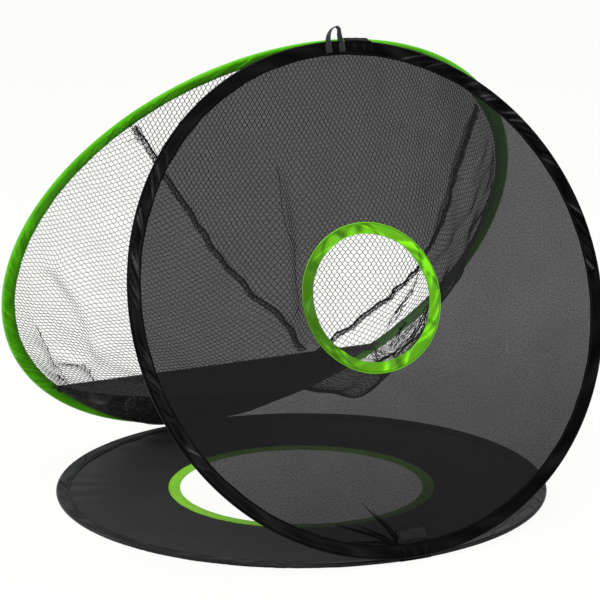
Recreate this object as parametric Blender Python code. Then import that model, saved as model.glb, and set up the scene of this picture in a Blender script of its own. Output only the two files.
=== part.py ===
"""Folding golf chipping net: three pop-up hoops tied into a tent, with a net bag in the rear one.

The base hoop lies on the floor, the front hoop leans back from its front rim, and the rear
hoop leans forward from its rear rim until the two meet at the top. Unhooked at the rear, the
rear hoop swings out, up and over onto the front hoop while that lies down on the base.

Metres, +Z up, +Y to the rear. The origin is on the floor under the middle of the base hoop.
"""

import math

import bmesh
import bpy
from mathutils import Matrix, Vector

# Hoops: outer diameters over the sleeves.
BASE_DIAMETER = 0.635
FRONT_DIAMETER = 0.645
REAR_DIAMETER = 0.708

# Spring-steel wire, the crimp that joins its ends, and the cloth channel round both.
WIRE_DIAMETER = 0.0025
WIRE_END_GAP = 0.001
FERRULE_WALL = 0.00055
FERRULE_LENGTH = 0.024
FERRULE_BORE_CLEARANCE = 0.00025
CHANNEL_CLEARANCE = 0.0003

# Cloth.
SLEEVE_WIDTH = 0.018
SLEEVE_CLOTH = 0.0005
PANEL_CLOTH = 0.0006
BINDING_CLOTH = 0.0005
TAPE_CLOTH = 0.0006
NET_THICKNESS = 0.0006
EDGE_TUCK = 0.009

# Target holes: the open radius inside the binding, and the width of the binding.
BASE_HOLE_RADIUS = 0.157
BASE_BINDING_WIDTH = 0.015
FRONT_HOLE_RADIUS = 0.076
FRONT_BINDING_WIDTH = 0.018

# Rear panel: a flap closes the foot of the hoop up to a chord, and the net bag hangs above it.
FLAP_HEIGHT = 0.111
HEM_DEPTH = 0.013
BAG_APEX_HEIGHT = -0.021
BAG_DEPTH = 0.187
BAG_FULLNESS_TOP = 1.2
BAG_FULLNESS_LEFT = 1.3
BAG_FULLNESS_RIGHT = 2.2
BAG_FULLNESS_BOTTOM = 1.35
BAG_SAG_TOP = 0.012
BAG_SAG_SIDE = 0.022
BAG_SAG_BOTTOM = 0.024
NET_OPENINGS = 12
NET_BAR_SHARE = 0.13
SEAM_ANGLE = 45.0
SEAM_WIDTH = 0.007

# Small parts.
PATCH_WIDTH = 0.042
PATCH_HEIGHT = 0.018
PATCH_OFFSET_X = -0.001
PATCH_MARGIN = 0.0015
TAPE_WIDTH = 0.041
TOP_TAPE_WIDTH = 0.032
TOP_TAPE_OFFSET_X = 0.042
LOOP_WIDTH = 0.024
LOOP_HEIGHT = 0.018
LOOP_STRAP_WIDTH = 0.007
LOOP_STRAP_THICKNESS = 0.0016
LOOP_OFFSET_X = 0.010
LOOP_OFFSET_OUT = 0.0015
CLOSURE_WIDTH = 0.030
CLOSURE_GRIP = 0.022
CLOSURE_FLOOR_GAP = 0.0008

# Clearances.
GAP = 0.0003
FOLD_GAP = 0.0006
SEAM_GAP = 0.0006
TAPE_END_GAP = 0.002

# Facets round a hoop, and net rows from the rim to the deepest point.
SEGMENTS = 48
CHORD_COLUMNS = 9
BAG_ROWS = (0.03, 0.17, 0.31, 0.45, 0.59, 0.73, 0.86)

# Sizes that follow from those above.
BASE_RADIUS = BASE_DIAMETER / 2
FRONT_RADIUS = FRONT_DIAMETER / 2
REAR_RADIUS = REAR_DIAMETER / 2
WIRE_RADIUS = WIRE_DIAMETER / 2
FERRULE_BORE = WIRE_RADIUS + FERRULE_BORE_CLEARANCE
FERRULE_RADIUS = FERRULE_BORE + FERRULE_WALL
OCTAGON = math.cos(math.pi / 8)
CHANNEL_HALF = FERRULE_RADIUS / OCTAGON + CHANNEL_CLEARANCE
TUBE_HALF = CHANNEL_HALF + SLEEVE_CLOTH
TUBE_CORNER = TUBE_HALF / OCTAGON
HINGE_OFFSET = TUBE_HALF + FOLD_GAP / 2
FLAP_CHORD = REAR_RADIUS - FLAP_HEIGHT
PANEL_HALF = PANEL_CLOTH / 2
LIP_INNER = PANEL_HALF + GAP
LIP_OUTER = LIP_INNER + SLEEVE_CLOTH
BAND_REACH = (TUBE_CORNER + GAP) / math.cos(math.radians(15))
BAND_OUTSIDE = BAND_REACH + TAPE_CLOTH
RIM_TOUCH = 2 * TUBE_CORNER + GAP
TOP, BOTTOM = SEGMENTS // 4, 3 * SEGMENTS // 4
SEAM_STEP = round(SEAM_ANGLE * SEGMENTS / 360)


def clear_scene():
    for item in list(bpy.data.objects):
        bpy.data.objects.remove(item, do_unlink=True)


def material(name, colour, roughness, metallic=0.0):
    made = bpy.data.materials.new(name)
    made.use_nodes = True
    shader = made.node_tree.nodes["Principled BSDF"]
    shader.inputs["Base Color"].default_value = (*colour, 1.0)
    shader.inputs["Roughness"].default_value = roughness
    shader.inputs["Metallic"].default_value = metallic
    made.diffuse_color = (*colour, 1.0)
    return made


def axis_empty(name, location, turn, parent=None):
    """An empty whose X is a hinge line and whose XY plane is that of the hoop on it."""
    made = bpy.data.objects.new(name, None)
    bpy.context.scene.collection.objects.link(made)
    made.parent = parent
    made.location = location
    made.rotation_euler = (turn, 0, 0)
    return made


def add_piece(name, mesh_edit, parent, offset, colour):
    """Puts a finished bmesh into the scene as one node, under its body's empty."""
    bmesh.ops.recalc_face_normals(mesh_edit, faces=mesh_edit.faces)
    mesh = bpy.data.meshes.new(name)
    mesh_edit.to_mesh(mesh)
    mesh_edit.free()
    mesh.transform(Matrix.Translation(offset))
    mesh.materials.append(colour)
    mesh.shade_smooth()
    mesh.set_sharp_from_angle(angle=math.radians(35))
    made = bpy.data.objects.new(name, mesh)
    bpy.context.scene.collection.objects.link(made)
    made.parent = parent
    return made


# Shapes round a hoop. A place is (station, r, n): the station counts facet corners
# anticlockwise from +X, r is the distance from the centre, and n is out of the plane.


def rim_point(station, r, n):
    low = math.floor(station)
    part = station - low
    ends = []
    for corner in (low, low + 1):
        angle = 2 * math.pi * corner / SEGMENTS
        ends.append(Vector((r * math.cos(angle), r * math.sin(angle), n)))
    return ends[0].lerp(ends[1], part)


def station_at(r, height, rightward):
    """The station where the faceted rim of radius r crosses this height below the centre."""
    low, high = (BOTTOM, SEGMENTS + TOP) if rightward else (TOP, BOTTOM)
    for _ in range(50):
        middle = (low + high) / 2
        below = rim_point(middle, r, 0).y < height
        if below == rightward:
            low = middle
        else:
            high = middle
    return low


def join_rings(mesh_edit, first, second):
    count = len(first)
    for i in range(count):
        j = (i + 1) % count
        mesh_edit.faces.new((first[i], first[j], second[j], second[i]))


def swept(profile, stations, closed=False):
    """A profile of (r, n) points carried round the hoop, with end faces unless it closes."""
    mesh_edit = bmesh.new()
    rings = []
    for station in stations:
        rings.append([mesh_edit.verts.new(rim_point(station, r, n)) for r, n in profile])
    for first, second in zip(rings, rings[1:]):
        join_rings(mesh_edit, first, second)
    if closed:
        join_rings(mesh_edit, rings[-1], rings[0])
    else:
        mesh_edit.faces.new(rings[0])
        mesh_edit.faces.new(rings[-1])
    return mesh_edit


def full_ring(profile):
    return swept(profile, range(SEGMENTS), closed=True)


def prism(outline, half_width):
    """A closed (y, z) outline carried along X, centred."""
    mesh_edit = bmesh.new()
    rings = []
    for x in (-half_width, half_width):
        rings.append([mesh_edit.verts.new((x, y, z)) for y, z in outline])
    join_rings(mesh_edit, *rings)
    for ring in rings:
        mesh_edit.faces.new(ring)
    return mesh_edit


def octagon(r, half, flats=True):
    """Corners of an octagon about radius r, half wide over its flats or over its corners."""
    reach = half / OCTAGON if flats else half
    corners = [math.radians(22.5 + 45 * k) for k in range(8)]
    return [(r + reach * math.cos(a), reach * math.sin(a)) for a in corners]


def sleeve_profile(radius):
    """Cloth folded round the wire channel, its two lips reaching in over the panel's edge."""
    tube = radius - TUBE_HALF
    inner_end = radius - SLEEVE_WIDTH
    outer = octagon(tube, TUBE_HALF)
    inner = octagon(tube, CHANNEL_HALF)
    upper = [outer[2], outer[1], outer[0]]
    lower = [outer[7], outer[6], outer[5]]
    back = [inner[5], inner[6], inner[7], inner[0], inner[1], inner[2]]
    edge_out, edge_in = (inner_end, LIP_OUTER), (inner_end, LIP_INNER)
    under_in, under_out = (inner_end, -LIP_INNER), (inner_end, -LIP_OUTER)
    return [edge_out, *upper, *lower, under_out, under_in, *back, edge_in]


def wire_ring(radius, join):
    """Round wire in one turn, its two ends butting in the middle of the facet after join."""
    tube = radius - TUBE_HALF
    facet = 2 * tube * math.sin(math.pi / SEGMENTS)
    half_gap = WIRE_END_GAP / 2 / facet
    profile = octagon(tube, WIRE_RADIUS, flats=False)
    corners = range(join + 1, join + 1 + SEGMENTS)
    stations = [join + 0.5 + half_gap, *corners, join + SEGMENTS + 0.5 - half_gap]
    return swept(profile, stations)


def ferrule(radius, join):
    """Crimp tube over the wire's two ends, straight, in the middle of one facet."""
    tube = radius - TUBE_HALF
    facet = 2 * tube * math.sin(math.pi / SEGMENTS)
    half = FERRULE_LENGTH / 2 / facet
    mesh_edit = bmesh.new()
    ends = []
    for station in (join + 0.5 - half, join + 0.5 + half):
        pair = []
        for size in (FERRULE_RADIUS, FERRULE_BORE):
            corners = octagon(tube, size)
            pair.append([mesh_edit.verts.new(rim_point(station, r, n)) for r, n in corners])
        ends.append(pair)
    join_rings(mesh_edit, ends[0][0], ends[1][0])
    join_rings(mesh_edit, ends[0][1], ends[1][1])
    join_rings(mesh_edit, *ends[0])
    join_rings(mesh_edit, *ends[1])
    return mesh_edit


def panel_profile(radius, hole_radius):
    """Flat cloth from inside the hole's binding to inside the sleeve."""
    inner = hole_radius + BINDING_CLOTH + GAP
    outer = radius - EDGE_TUCK
    return [(inner, -PANEL_HALF), (outer, -PANEL_HALF), (outer, PANEL_HALF), (inner, PANEL_HALF)]


def binding_profile(hole_radius, width):
    """Tape folded over the edge of a hole: a U open away from the centre."""
    outer = hole_radius + width
    fold = hole_radius + BINDING_CLOTH
    slot = PANEL_HALF + GAP
    skin = slot + BINDING_CLOTH
    top = [(fold, slot), (outer, slot), (outer, skin), (hole_radius, skin)]
    bottom = [(r, -n) for r, n in reversed(top)]
    return top + bottom


def across(radius, middle, shift, width):
    """Stations of a piece this wide on a rim, its middle shifted sideways along +X."""
    facet = 2 * radius * math.sin(math.pi / SEGMENTS)
    sideways = shift if middle == BOTTOM else -shift
    low = middle + (sideways - width / 2) / facet
    high = low + width / facet
    return (low, *range(math.floor(low) + 1, math.ceil(high)), high)


def add_hoop(prefix, radius, join, parent, centre, sleeve_colour, steel):
    add_piece(f"{prefix}_hoop_wire", wire_ring(radius, join), parent, centre, steel)
    add_piece(f"{prefix}_hoop_ferrule", ferrule(radius, join), parent, centre, steel)
    sleeve = full_ring(sleeve_profile(radius))
    add_piece(f"{prefix}_sleeve", sleeve, parent, centre, sleeve_colour)


# Tapes and tabs at the three joins.


def arc(reach, first_angle, last_angle, steps=3):
    """(along, out) points on a circle, from one angle in degrees to another."""
    turn = (last_angle - first_angle) / steps
    angles = [math.radians(first_angle + turn * k) for k in range(steps + 1)]
    return [(reach * math.cos(a), reach * math.sin(a)) for a in angles]


def along_sleeve(radius, outline, stations):
    """An (along, out) outline about a sleeve's tube, carried along the hoop."""
    tube = radius - TUBE_HALF
    return swept([(tube + along, out) for along, out in outline], stations)


def hugging_band(radius, middle, first_angle, last_angle):
    """Tape lying round a sleeve between two angles."""
    inner = arc(BAND_REACH, first_angle, last_angle)
    outer = arc(BAND_OUTSIDE, last_angle, first_angle)
    return along_sleeve(radius, inner + outer, across(radius, middle, 0, TAPE_WIDTH))


def closure_anchor():
    """Sewn end of the closure: flat on the rear hoop's outer face, then round its foot."""
    inner = [(-CLOSURE_GRIP, -BAND_REACH), *arc(BAND_REACH, -90, -30)]
    outer = [*arc(BAND_OUTSIDE, -30, -90), (-CLOSURE_GRIP, -BAND_OUTSIDE)]
    stations = across(REAR_RADIUS, BOTTOM, 0, CLOSURE_WIDTH)
    return along_sleeve(REAR_RADIUS, inner + outer, stations)


def closure_tab(length):
    """Free end of the closure, hanging behind the base hoop's rear rim."""
    half = TAPE_CLOTH / 2
    return prism([(-half, 0), (-half, -length), (half, -length), (half, 0)], CLOSURE_WIDTH / 2)


def top_tape(radius, side, rim_to_axis):
    """Tape sewn over the rim that runs to the top hinge line along the hoop's outer face."""
    seat = TUBE_HALF + GAP
    tip = rim_to_axis - TAPE_END_GAP
    face = HINGE_OFFSET - GAP / 2
    back = face - TAPE_CLOTH
    leg = [(seat, face), (seat, -TUBE_HALF / 2), (seat + TAPE_CLOTH, -TUBE_HALF / 2)]
    strip = [(seat + TAPE_CLOTH, back), (tip, back), (tip, face)]
    outline = [(along, side * out) for along, out in leg + strip]
    return along_sleeve(radius, outline, across(radius, TOP, TOP_TAPE_OFFSET_X, TOP_TAPE_WIDTH))


def patch():
    """Cloth stitched on the back of the front panel, its lower edge along the sleeve."""
    low = FRONT_RADIUS - SLEEVE_WIDTH - PATCH_MARGIN
    high = low - PATCH_HEIGHT
    back = -PANEL_HALF - GAP
    face = back - TAPE_CLOTH
    profile = [(high, back), (high, face), (low, face), (low, back)]
    return swept(profile, across(low, BOTTOM, PATCH_OFFSET_X, PATCH_WIDTH))


def carry_loop():
    """Closed webbing loop standing on the front hoop's rim: a flat foot and a round top."""
    mesh_edit = bmesh.new()
    steps = 8
    rings = []
    for inset in (0, LOOP_STRAP_THICKNESS):
        half = LOOP_WIDTH / 2 - inset
        shoulder = LOOP_HEIGHT - LOOP_WIDTH / 2
        arc = [math.pi * k / steps for k in range(steps + 1)]
        outline = [(half * math.cos(a), shoulder + half * math.sin(a)) for a in arc]
        outline += [(-half, inset), (half, inset)]
        for side in (-1, 1):
            out = side * LOOP_STRAP_WIDTH / 2
            rings.append([mesh_edit.verts.new((x, up, out)) for x, up in outline])
    outer_low, outer_high, inner_low, inner_high = rings
    join_rings(mesh_edit, outer_low, outer_high)
    join_rings(mesh_edit, outer_high, inner_high)
    join_rings(mesh_edit, inner_high, inner_low)
    join_rings(mesh_edit, inner_low, outer_low)
    return mesh_edit


# Rear panel.


def flap():
    """Cloth below the chord, its curved edge inside the sleeve and its top edge in the hem."""
    edge = REAR_RADIUS - EDGE_TUCK
    height = -FLAP_CHORD - BINDING_CLOTH - GAP
    left, right = station_at(edge, height, False), station_at(edge, height, True)
    corners = range(math.ceil(left), math.floor(right) + 1)
    mesh_edit = bmesh.new()
    rings = []
    for n in (-PANEL_HALF, PANEL_HALF):
        stations = (left, *corners, right)
        rings.append([mesh_edit.verts.new(rim_point(s, edge, n)) for s in stations])
    join_rings(mesh_edit, *rings)
    for ring in rings:
        mesh_edit.faces.new(ring)
    return mesh_edit


def flap_hem():
    """Tape folded down over the flap's top edge, ending just short of the sleeve's lips."""
    reach = (REAR_RADIUS - SLEEVE_WIDTH - GAP) * math.cos(math.pi / SEGMENTS)
    low = FLAP_CHORD + HEM_DEPTH
    half_width = math.sqrt(reach**2 - low**2) - GAP
    slot = PANEL_HALF + GAP
    skin = slot + BINDING_CLOTH
    fold = -FLAP_CHORD - BINDING_CLOTH
    side = [(-FLAP_CHORD, skin), (-low, skin), (-low, slot), (fold, slot)]
    outline = side + [(y, -z) for y, z in reversed(side)]
    return prism(outline, half_width)


def bag_corners(radius, height):
    """Stations where the rim of this radius meets the chord, right and then left."""
    right = station_at(radius, height, True) - SEGMENTS
    left = station_at(radius, height, False)
    return right, left


def bag_edge(radius, height, corners):
    """The net's edge: up round the rim from the right corner, and back along the chord."""
    right, left = bag_corners(radius, height)
    edge = [rim_point(s, radius, 0) for s in (right, *corners, left)]
    start, end = edge[-1], edge[0]
    for k in range(1, CHORD_COLUMNS + 1):
        edge.append(start.lerp(end, k / (CHORD_COLUMNS + 1)))
    return edge


def round_the_bag(start, top, left, right, bottom):
    """A value for this place on the net's edge, between those at the top, sides and chord."""
    height = start.y / start.length
    side = right if start.x > 0 else left
    end = top if height > 0 else bottom
    return side + (end - side) * height**4


def bag_point(start, apex, share, downward):
    """A place on the hanging net, this share of the way from its edge to the deepest point."""
    power = round_the_bag(
        start, BAG_FULLNESS_TOP, BAG_FULLNESS_LEFT, BAG_FULLNESS_RIGHT, BAG_FULLNESS_BOTTOM
    )
    sag = round_the_bag(start, BAG_SAG_TOP, BAG_SAG_SIDE, BAG_SAG_SIDE, BAG_SAG_BOTTOM)
    point = start.lerp(apex, share)
    point.z = BAG_DEPTH * (1 - (1 - share) ** power)
    return point + downward * sag * 4 * share * (1 - share)


def bag_middle():
    """Rows of points on the middle of the net, from its edge to just short of the apex.

    It also gives the stations of the columns that run down from the rim's facet corners.
    """
    hem_top = -FLAP_CHORD + GAP
    tucked = REAR_RADIUS - EDGE_TUCK
    clear = REAR_RADIUS - SLEEVE_WIDTH - 4 * GAP
    right, left = bag_corners(tucked, hem_top)
    corners = range(math.ceil(right), math.floor(left) + 1)
    inner = bag_edge(clear, hem_top + 4 * GAP, corners)
    rows = [bag_edge(tucked, hem_top, corners), inner]
    apex = Vector((0, BAG_APEX_HEIGHT, 0))
    lean = stand_hoops()[1]
    downward = Vector((0, -math.sin(lean), math.cos(lean)))
    for share in BAG_ROWS:
        rows.append([bag_point(start, apex, share, downward) for start in inner])
    return rows, corners


def bag_normals(rows, apex):
    """Unit normals of the net's middle surface, pointing out of the bag."""
    normals = []
    for r, row in enumerate(rows):
        before = rows[max(r - 1, 0)]
        after = rows[r + 1] if r + 1 < len(rows) else [apex] * len(row)
        line = []
        for c, _ in enumerate(row):
            down = after[c] - before[c]
            across = row[(c + 1) % len(row)] - row[c - 1]
            normal = across.cross(down).normalized()
            line.append(Vector((0, 0, 1)) if r < 2 else normal)
        normals.append(line)
    return normals


def inset_row(upper, lower, run, share):
    """Corners a share of the way down a run of net cells, drawn in from the run's two ends."""
    first, last = run
    points = []
    for k in range(first, last + 1):
        along = (k - first) / (last - first)
        place = first + (last - first) * (NET_BAR_SHARE + (1 - 2 * NET_BAR_SHARE) * along)
        low = min(math.floor(place), last - 1)
        top = upper[low].co.lerp(upper[low + 1].co, place - low)
        bottom = lower[low].co.lerp(lower[low + 1].co, place - low)
        points.append(top.lerp(bottom, share))
    return points


def net_opening(mesh_edit, upper, lower, run):
    """The bars round one opening on one side of the net; it returns the opening's own corners."""
    first, last = run
    inner = []
    for share in (NET_BAR_SHARE, 1 - NET_BAR_SHARE):
        points = inset_row(upper, lower, run, share)
        inner.append([mesh_edit.verts.new(p) for p in points])
    top, bottom = inner
    for k in range(last - first):
        here = first + k
        mesh_edit.faces.new((upper[here], upper[here + 1], top[k + 1], top[k]))
        mesh_edit.faces.new((bottom[k], bottom[k + 1], lower[here + 1], lower[here]))
    mesh_edit.faces.new((upper[first], top[0], bottom[0], lower[first]))
    mesh_edit.faces.new((top[-1], upper[last], lower[last], bottom[-1]))
    return [*top, *reversed(bottom)]


def net_panel(first_station, last_station, tip_shift):
    """The netting from one seam round to the other, as a thin shell with a grid of openings.

    It ends at the deepest point of the bag. Its meshes are far finer than this grid.
    """
    rows, corners = bag_middle()
    apex = Vector((0, BAG_APEX_HEIGHT, BAG_DEPTH))
    normals = bag_normals(rows, apex)
    count = len(rows[0])
    first, last = corners.index(first_station) + 1, corners.index(last_station) + 1
    columns = [c % count for c in range(first, first + (last - first) % count + 1)]
    cells = len(columns) - 1
    step = math.ceil(cells / NET_OPENINGS)
    runs = [(k, min(k + step, cells)) for k in range(0, cells, step)]
    mesh_edit = bmesh.new()
    rims, openings = [], []
    for side in (-1, 1):
        offset = side * NET_THICKNESS / 2
        skin = []
        for row, line in zip(rows, normals):
            places = [row[c] for c in columns]
            for end, inner in ((0, 1), (-1, -2)):
                places[end] = places[end] + (places[inner] - places[end]).normalized() * GAP / 2
            lifted = [place + line[c] * offset for place, c in zip(places, columns)]
            skin.append([mesh_edit.verts.new(p) for p in lifted])
        for k in range(cells):
            mesh_edit.faces.new((skin[0][k], skin[0][k + 1], skin[1][k + 1], skin[1][k]))
            mesh_edit.faces.new((skin[1][k], skin[1][k + 1], skin[2][k + 1], skin[2][k]))
        rows_of_cells = list(zip(skin[2:], skin[3:]))
        openings.append([
            net_opening(mesh_edit, upper, lower, run) for upper, lower in rows_of_cells for run in runs
        ])
        tip = mesh_edit.verts.new(apex + Vector((0, tip_shift, offset)))
        for left, right in zip(skin[-1], skin[-1][1:]):
            mesh_edit.faces.new((left, right, tip))
        down, up = [row[-1] for row in skin[1:]], [row[0] for row in reversed(skin[1:])]
        rims.append([*skin[0], *down, tip, *up])
    join_rings(mesh_edit, *rims)
    for front_side, back_side in zip(*openings):
        join_rings(mesh_edit, front_side, back_side)
    return mesh_edit


def net_seam(station):
    """Tape along one of the net's two seams, on the outside of the bag."""
    rows, corners = bag_middle()
    normals = bag_normals(rows, Vector((0, BAG_APEX_HEIGHT, BAG_DEPTH)))
    column = corners.index(station) + 1
    low = NET_THICKNESS / 2 + SEAM_GAP
    mesh_edit = bmesh.new()
    rings = []
    for row, line in zip(rows[2:], normals[2:]):
        centre, normal = row[column], line[column]
        ring = []
        for neighbour in (column - 1, column + 1):
            away = (row[neighbour] - centre).normalized() * SEAM_WIDTH / 2
            ring.append((centre + away, normal))
        left, right = ring
        points = [
            left[0] + normal * low,
            centre + normal * low,
            right[0] + normal * low,
            right[0] + normal * (low + TAPE_CLOTH),
            centre + normal * (low + TAPE_CLOTH),
            left[0] + normal * (low + TAPE_CLOTH),
        ]
        rings.append([mesh_edit.verts.new(p) for p in points])
    for first, second in zip(rings, rings[1:]):
        join_rings(mesh_edit, first, second)
    mesh_edit.faces.new(rings[0])
    mesh_edit.faces.new(rings[-1])
    return mesh_edit


# Where the hoops stand. Side view: y to the rear, z up.


def stand_hoops():
    """Tilts and hinge lines at which the three rims just touch, found by closing the triangle."""
    tilt, lean = math.radians(67), math.radians(57)
    for _ in range(40):
        rise = HINGE_OFFSET * (1 + math.cos(tilt))
        step = HINGE_OFFSET * math.sin(tilt) - math.sqrt(RIM_TOUCH**2 - rise**2)
        hinge = Vector((0, -(BASE_RADIUS - TUBE_HALF) + step, TUBE_HALF + HINGE_OFFSET))
        half_open = (math.pi - tilt - lean) / 2
        rim_to_axis = RIM_TOUCH / 2 + HINGE_OFFSET * math.cos(half_open)
        rim_to_axis /= math.sin(half_open)
        foot = Vector((0, BASE_RADIUS - TUBE_HALF, TUBE_HALF + RIM_TOUCH))
        up, out = 2 * (FRONT_RADIUS - TUBE_HALF) + rim_to_axis, 2 * HINGE_OFFSET
        down = rim_to_axis + 2 * (REAR_RADIUS - TUBE_HALF)
        front = math.hypot(up, out)
        rear = math.hypot(down, HINGE_OFFSET)
        floor = (foot - hinge).length
        slope = math.atan2(foot.z - hinge.z, foot.y - hinge.y)
        at_hinge = math.acos((front**2 + floor**2 - rear**2) / (2 * front * floor))
        at_foot = math.acos((rear**2 + floor**2 - front**2) / (2 * rear * floor))
        tilt = at_hinge + slope - math.atan2(out, up)
        lean = at_foot - slope - math.atan2(HINGE_OFFSET, down)
    top = Vector((0, up, out))
    return tilt, lean, hinge, top, rim_to_axis


def build():
    clear_scene()
    black_satin = material("black_satin", (0.012, 0.012, 0.013), 0.45)
    green_satin = material("green_satin", (0.13, 0.42, 0.01), 0.45)
    sheer_mesh = material("sheer_mesh", (0.02, 0.02, 0.022), 0.8)
    black_cloth = material("black_cloth", (0.03, 0.03, 0.032), 0.7)
    lime_binding = material("lime_binding", (0.2, 0.55, 0.03), 0.5)
    black_webbing = material("black_webbing", (0.01, 0.01, 0.01), 0.8)
    netting = material("netting", (0.01, 0.01, 0.01), 0.7)
    steel = material("spring_steel", (0.45, 0.45, 0.46), 0.35, 1.0)

    tilt, lean, hinge, top, rim_to_axis = stand_hoops()
    base = axis_empty("base_axis", (0, 0, 0), 0)
    front = axis_empty("front_hinge_axis", hinge, tilt, base)
    rear = axis_empty("top_hinge_axis", top, math.pi - lean - tilt, front)
    foot = Vector((0, -rim_to_axis - 2 * (REAR_RADIUS - TUBE_HALF), HINGE_OFFSET))
    behind = Vector((0, BAND_OUTSIDE + GAP + TAPE_CLOTH / 2, 0))
    closure = foot + Matrix.Rotation(lean - math.pi, 3, "X") @ behind
    tab = axis_empty("closure_axis", closure, lean - math.pi, rear)

    base_centre = Vector((0, 0, TUBE_HALF))
    front_centre = Vector((0, FRONT_RADIUS - TUBE_HALF, HINGE_OFFSET))
    rear_centre = Vector((0, -rim_to_axis - (REAR_RADIUS - TUBE_HALF), HINGE_OFFSET))

    # Base hoop, on the floor.
    add_hoop("base", BASE_RADIUS, TOP + 3, base, base_centre, black_satin, steel)
    panel = full_ring(panel_profile(BASE_RADIUS, BASE_HOLE_RADIUS))
    add_piece("base_panel", panel, base, base_centre, black_cloth)
    binding = full_ring(binding_profile(BASE_HOLE_RADIUS, BASE_BINDING_WIDTH))
    add_piece("base_hole_binding", binding, base, base_centre, lime_binding)
    lower_band = hugging_band(BASE_RADIUS, BOTTOM, -38, 14)
    add_piece("front_hinge_tape_base", lower_band, base, base_centre, black_webbing)
    hook_band = hugging_band(BASE_RADIUS, TOP, -38, 30)
    add_piece("rear_hook_patch", hook_band, base, base_centre, black_webbing)

    # Front hoop, on the front hinge.
    add_hoop("front", FRONT_RADIUS, BOTTOM - 2, front, front_centre, black_satin, steel)
    panel = full_ring(panel_profile(FRONT_RADIUS, FRONT_HOLE_RADIUS))
    add_piece("front_panel", panel, front, front_centre, sheer_mesh)
    binding = full_ring(binding_profile(FRONT_HOLE_RADIUS, FRONT_BINDING_WIDTH))
    add_piece("front_hole_binding", binding, front, front_centre, lime_binding)
    upper_band = hugging_band(FRONT_RADIUS, BOTTOM, 0, 60)
    add_piece("front_hinge_tape_front", upper_band, front, front_centre, black_webbing)
    add_piece("front_patch", patch(), front, front_centre, black_cloth)
    tape = top_tape(FRONT_RADIUS, 1, rim_to_axis)
    add_piece("top_hinge_tape_front", tape, front, front_centre, black_webbing)
    at_loop = front_centre + Vector((LOOP_OFFSET_X, FRONT_RADIUS + GAP, LOOP_OFFSET_OUT))
    add_piece("carry_loop", carry_loop(), front, at_loop, black_webbing)

    # Rear hoop, on the top hinge.
    add_hoop("rear", REAR_RADIUS, BOTTOM + 3, rear, rear_centre, green_satin, steel)
    add_piece("rear_flap", flap(), rear, rear_centre, black_cloth)
    add_piece("rear_flap_hem", flap_hem(), rear, rear_centre, black_webbing)
    left, right = TOP + SEAM_STEP, TOP - SEAM_STEP
    upper, lower = net_panel(right, left, GAP / 2), net_panel(left, right, -GAP / 2)
    add_piece("net_upper_panel", upper, rear, rear_centre, netting)
    add_piece("net_lower_panel", lower, rear, rear_centre, netting)
    add_piece("net_seam_left", net_seam(left), rear, rear_centre, netting)
    add_piece("net_seam_right", net_seam(right), rear, rear_centre, netting)
    tape = top_tape(REAR_RADIUS, -1, rim_to_axis)
    add_piece("top_hinge_tape_rear", tape, rear, rear_centre, black_webbing)
    add_piece("rear_closure_anchor", closure_anchor(), rear, rear_centre, black_webbing)

    # Closure tab, hinged at the rear hoop's foot.
    length = TUBE_HALF + RIM_TOUCH - CLOSURE_FLOOR_GAP
    add_piece("rear_closure_tab", closure_tab(length), tab, Vector(), black_webbing)


build()
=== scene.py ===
"""Looks of the folding golf chipping net: cloth, netting, tapes, stitches, materials, camera.

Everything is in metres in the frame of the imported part. A hoop's own places are (r, angle, n):
r from its middle, the angle anticlockwise from +X with the top at 90 degrees, and n out of its
plane, along +Z on the base, outwards on the front hoop and into the tent on the rear hoop.
"""

import math

import bpy
import numpy as np
from mathutils import Matrix, Vector


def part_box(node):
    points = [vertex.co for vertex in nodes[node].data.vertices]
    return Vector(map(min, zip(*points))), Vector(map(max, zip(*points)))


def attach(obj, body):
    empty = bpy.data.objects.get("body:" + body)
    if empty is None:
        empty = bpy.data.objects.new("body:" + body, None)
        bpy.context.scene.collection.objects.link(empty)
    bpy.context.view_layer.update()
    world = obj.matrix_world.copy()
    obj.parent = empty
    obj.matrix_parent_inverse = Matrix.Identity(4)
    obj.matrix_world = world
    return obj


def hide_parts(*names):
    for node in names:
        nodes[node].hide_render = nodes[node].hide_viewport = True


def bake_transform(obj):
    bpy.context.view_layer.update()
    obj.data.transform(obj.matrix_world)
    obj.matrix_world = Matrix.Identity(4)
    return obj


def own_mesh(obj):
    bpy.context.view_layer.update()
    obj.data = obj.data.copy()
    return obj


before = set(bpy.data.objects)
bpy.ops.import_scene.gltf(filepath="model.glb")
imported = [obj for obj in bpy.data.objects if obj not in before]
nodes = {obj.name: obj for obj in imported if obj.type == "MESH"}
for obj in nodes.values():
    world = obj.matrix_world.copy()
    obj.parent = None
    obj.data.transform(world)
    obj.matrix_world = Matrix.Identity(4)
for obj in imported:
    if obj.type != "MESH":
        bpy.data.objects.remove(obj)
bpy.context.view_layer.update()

TURN = 2 * math.pi
MM = 0.001


# Hoops ------------------------------------------------------------------------------------


class Hoop:
    """The plane of a hoop, read from its packed sleeve."""

    def __init__(self, body, normal_hint):
        self.body = body
        points = np.array([v.co for v in nodes[f"{body}_sleeve"].data.vertices])
        self.centre = points.mean(0)
        normal = np.linalg.svd(points - self.centre, full_matrices=False)[2][2]
        self.en = normal * np.sign(normal @ np.array(normal_hint))
        self.ex = np.array([1.0, 0.0, 0.0])
        self.ey = np.cross(self.en, self.ex)
        flat = points - self.centre
        self.radius = np.hypot(flat @ self.ex, flat @ self.ey).max()

    def place(self, r, angle, n):
        """World points for arrays of radius, angle in radians and height out of the plane."""
        r, angle, n = np.broadcast_arrays(r, angle, n)
        return self.at(r * np.cos(angle), r * np.sin(angle), n)

    def at(self, x, y, n):
        x, y, n = (np.asarray(v, float)[..., None] for v in np.broadcast_arrays(x, y, n))
        return self.centre + x * self.ex + y * self.ey + n * self.en


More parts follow.
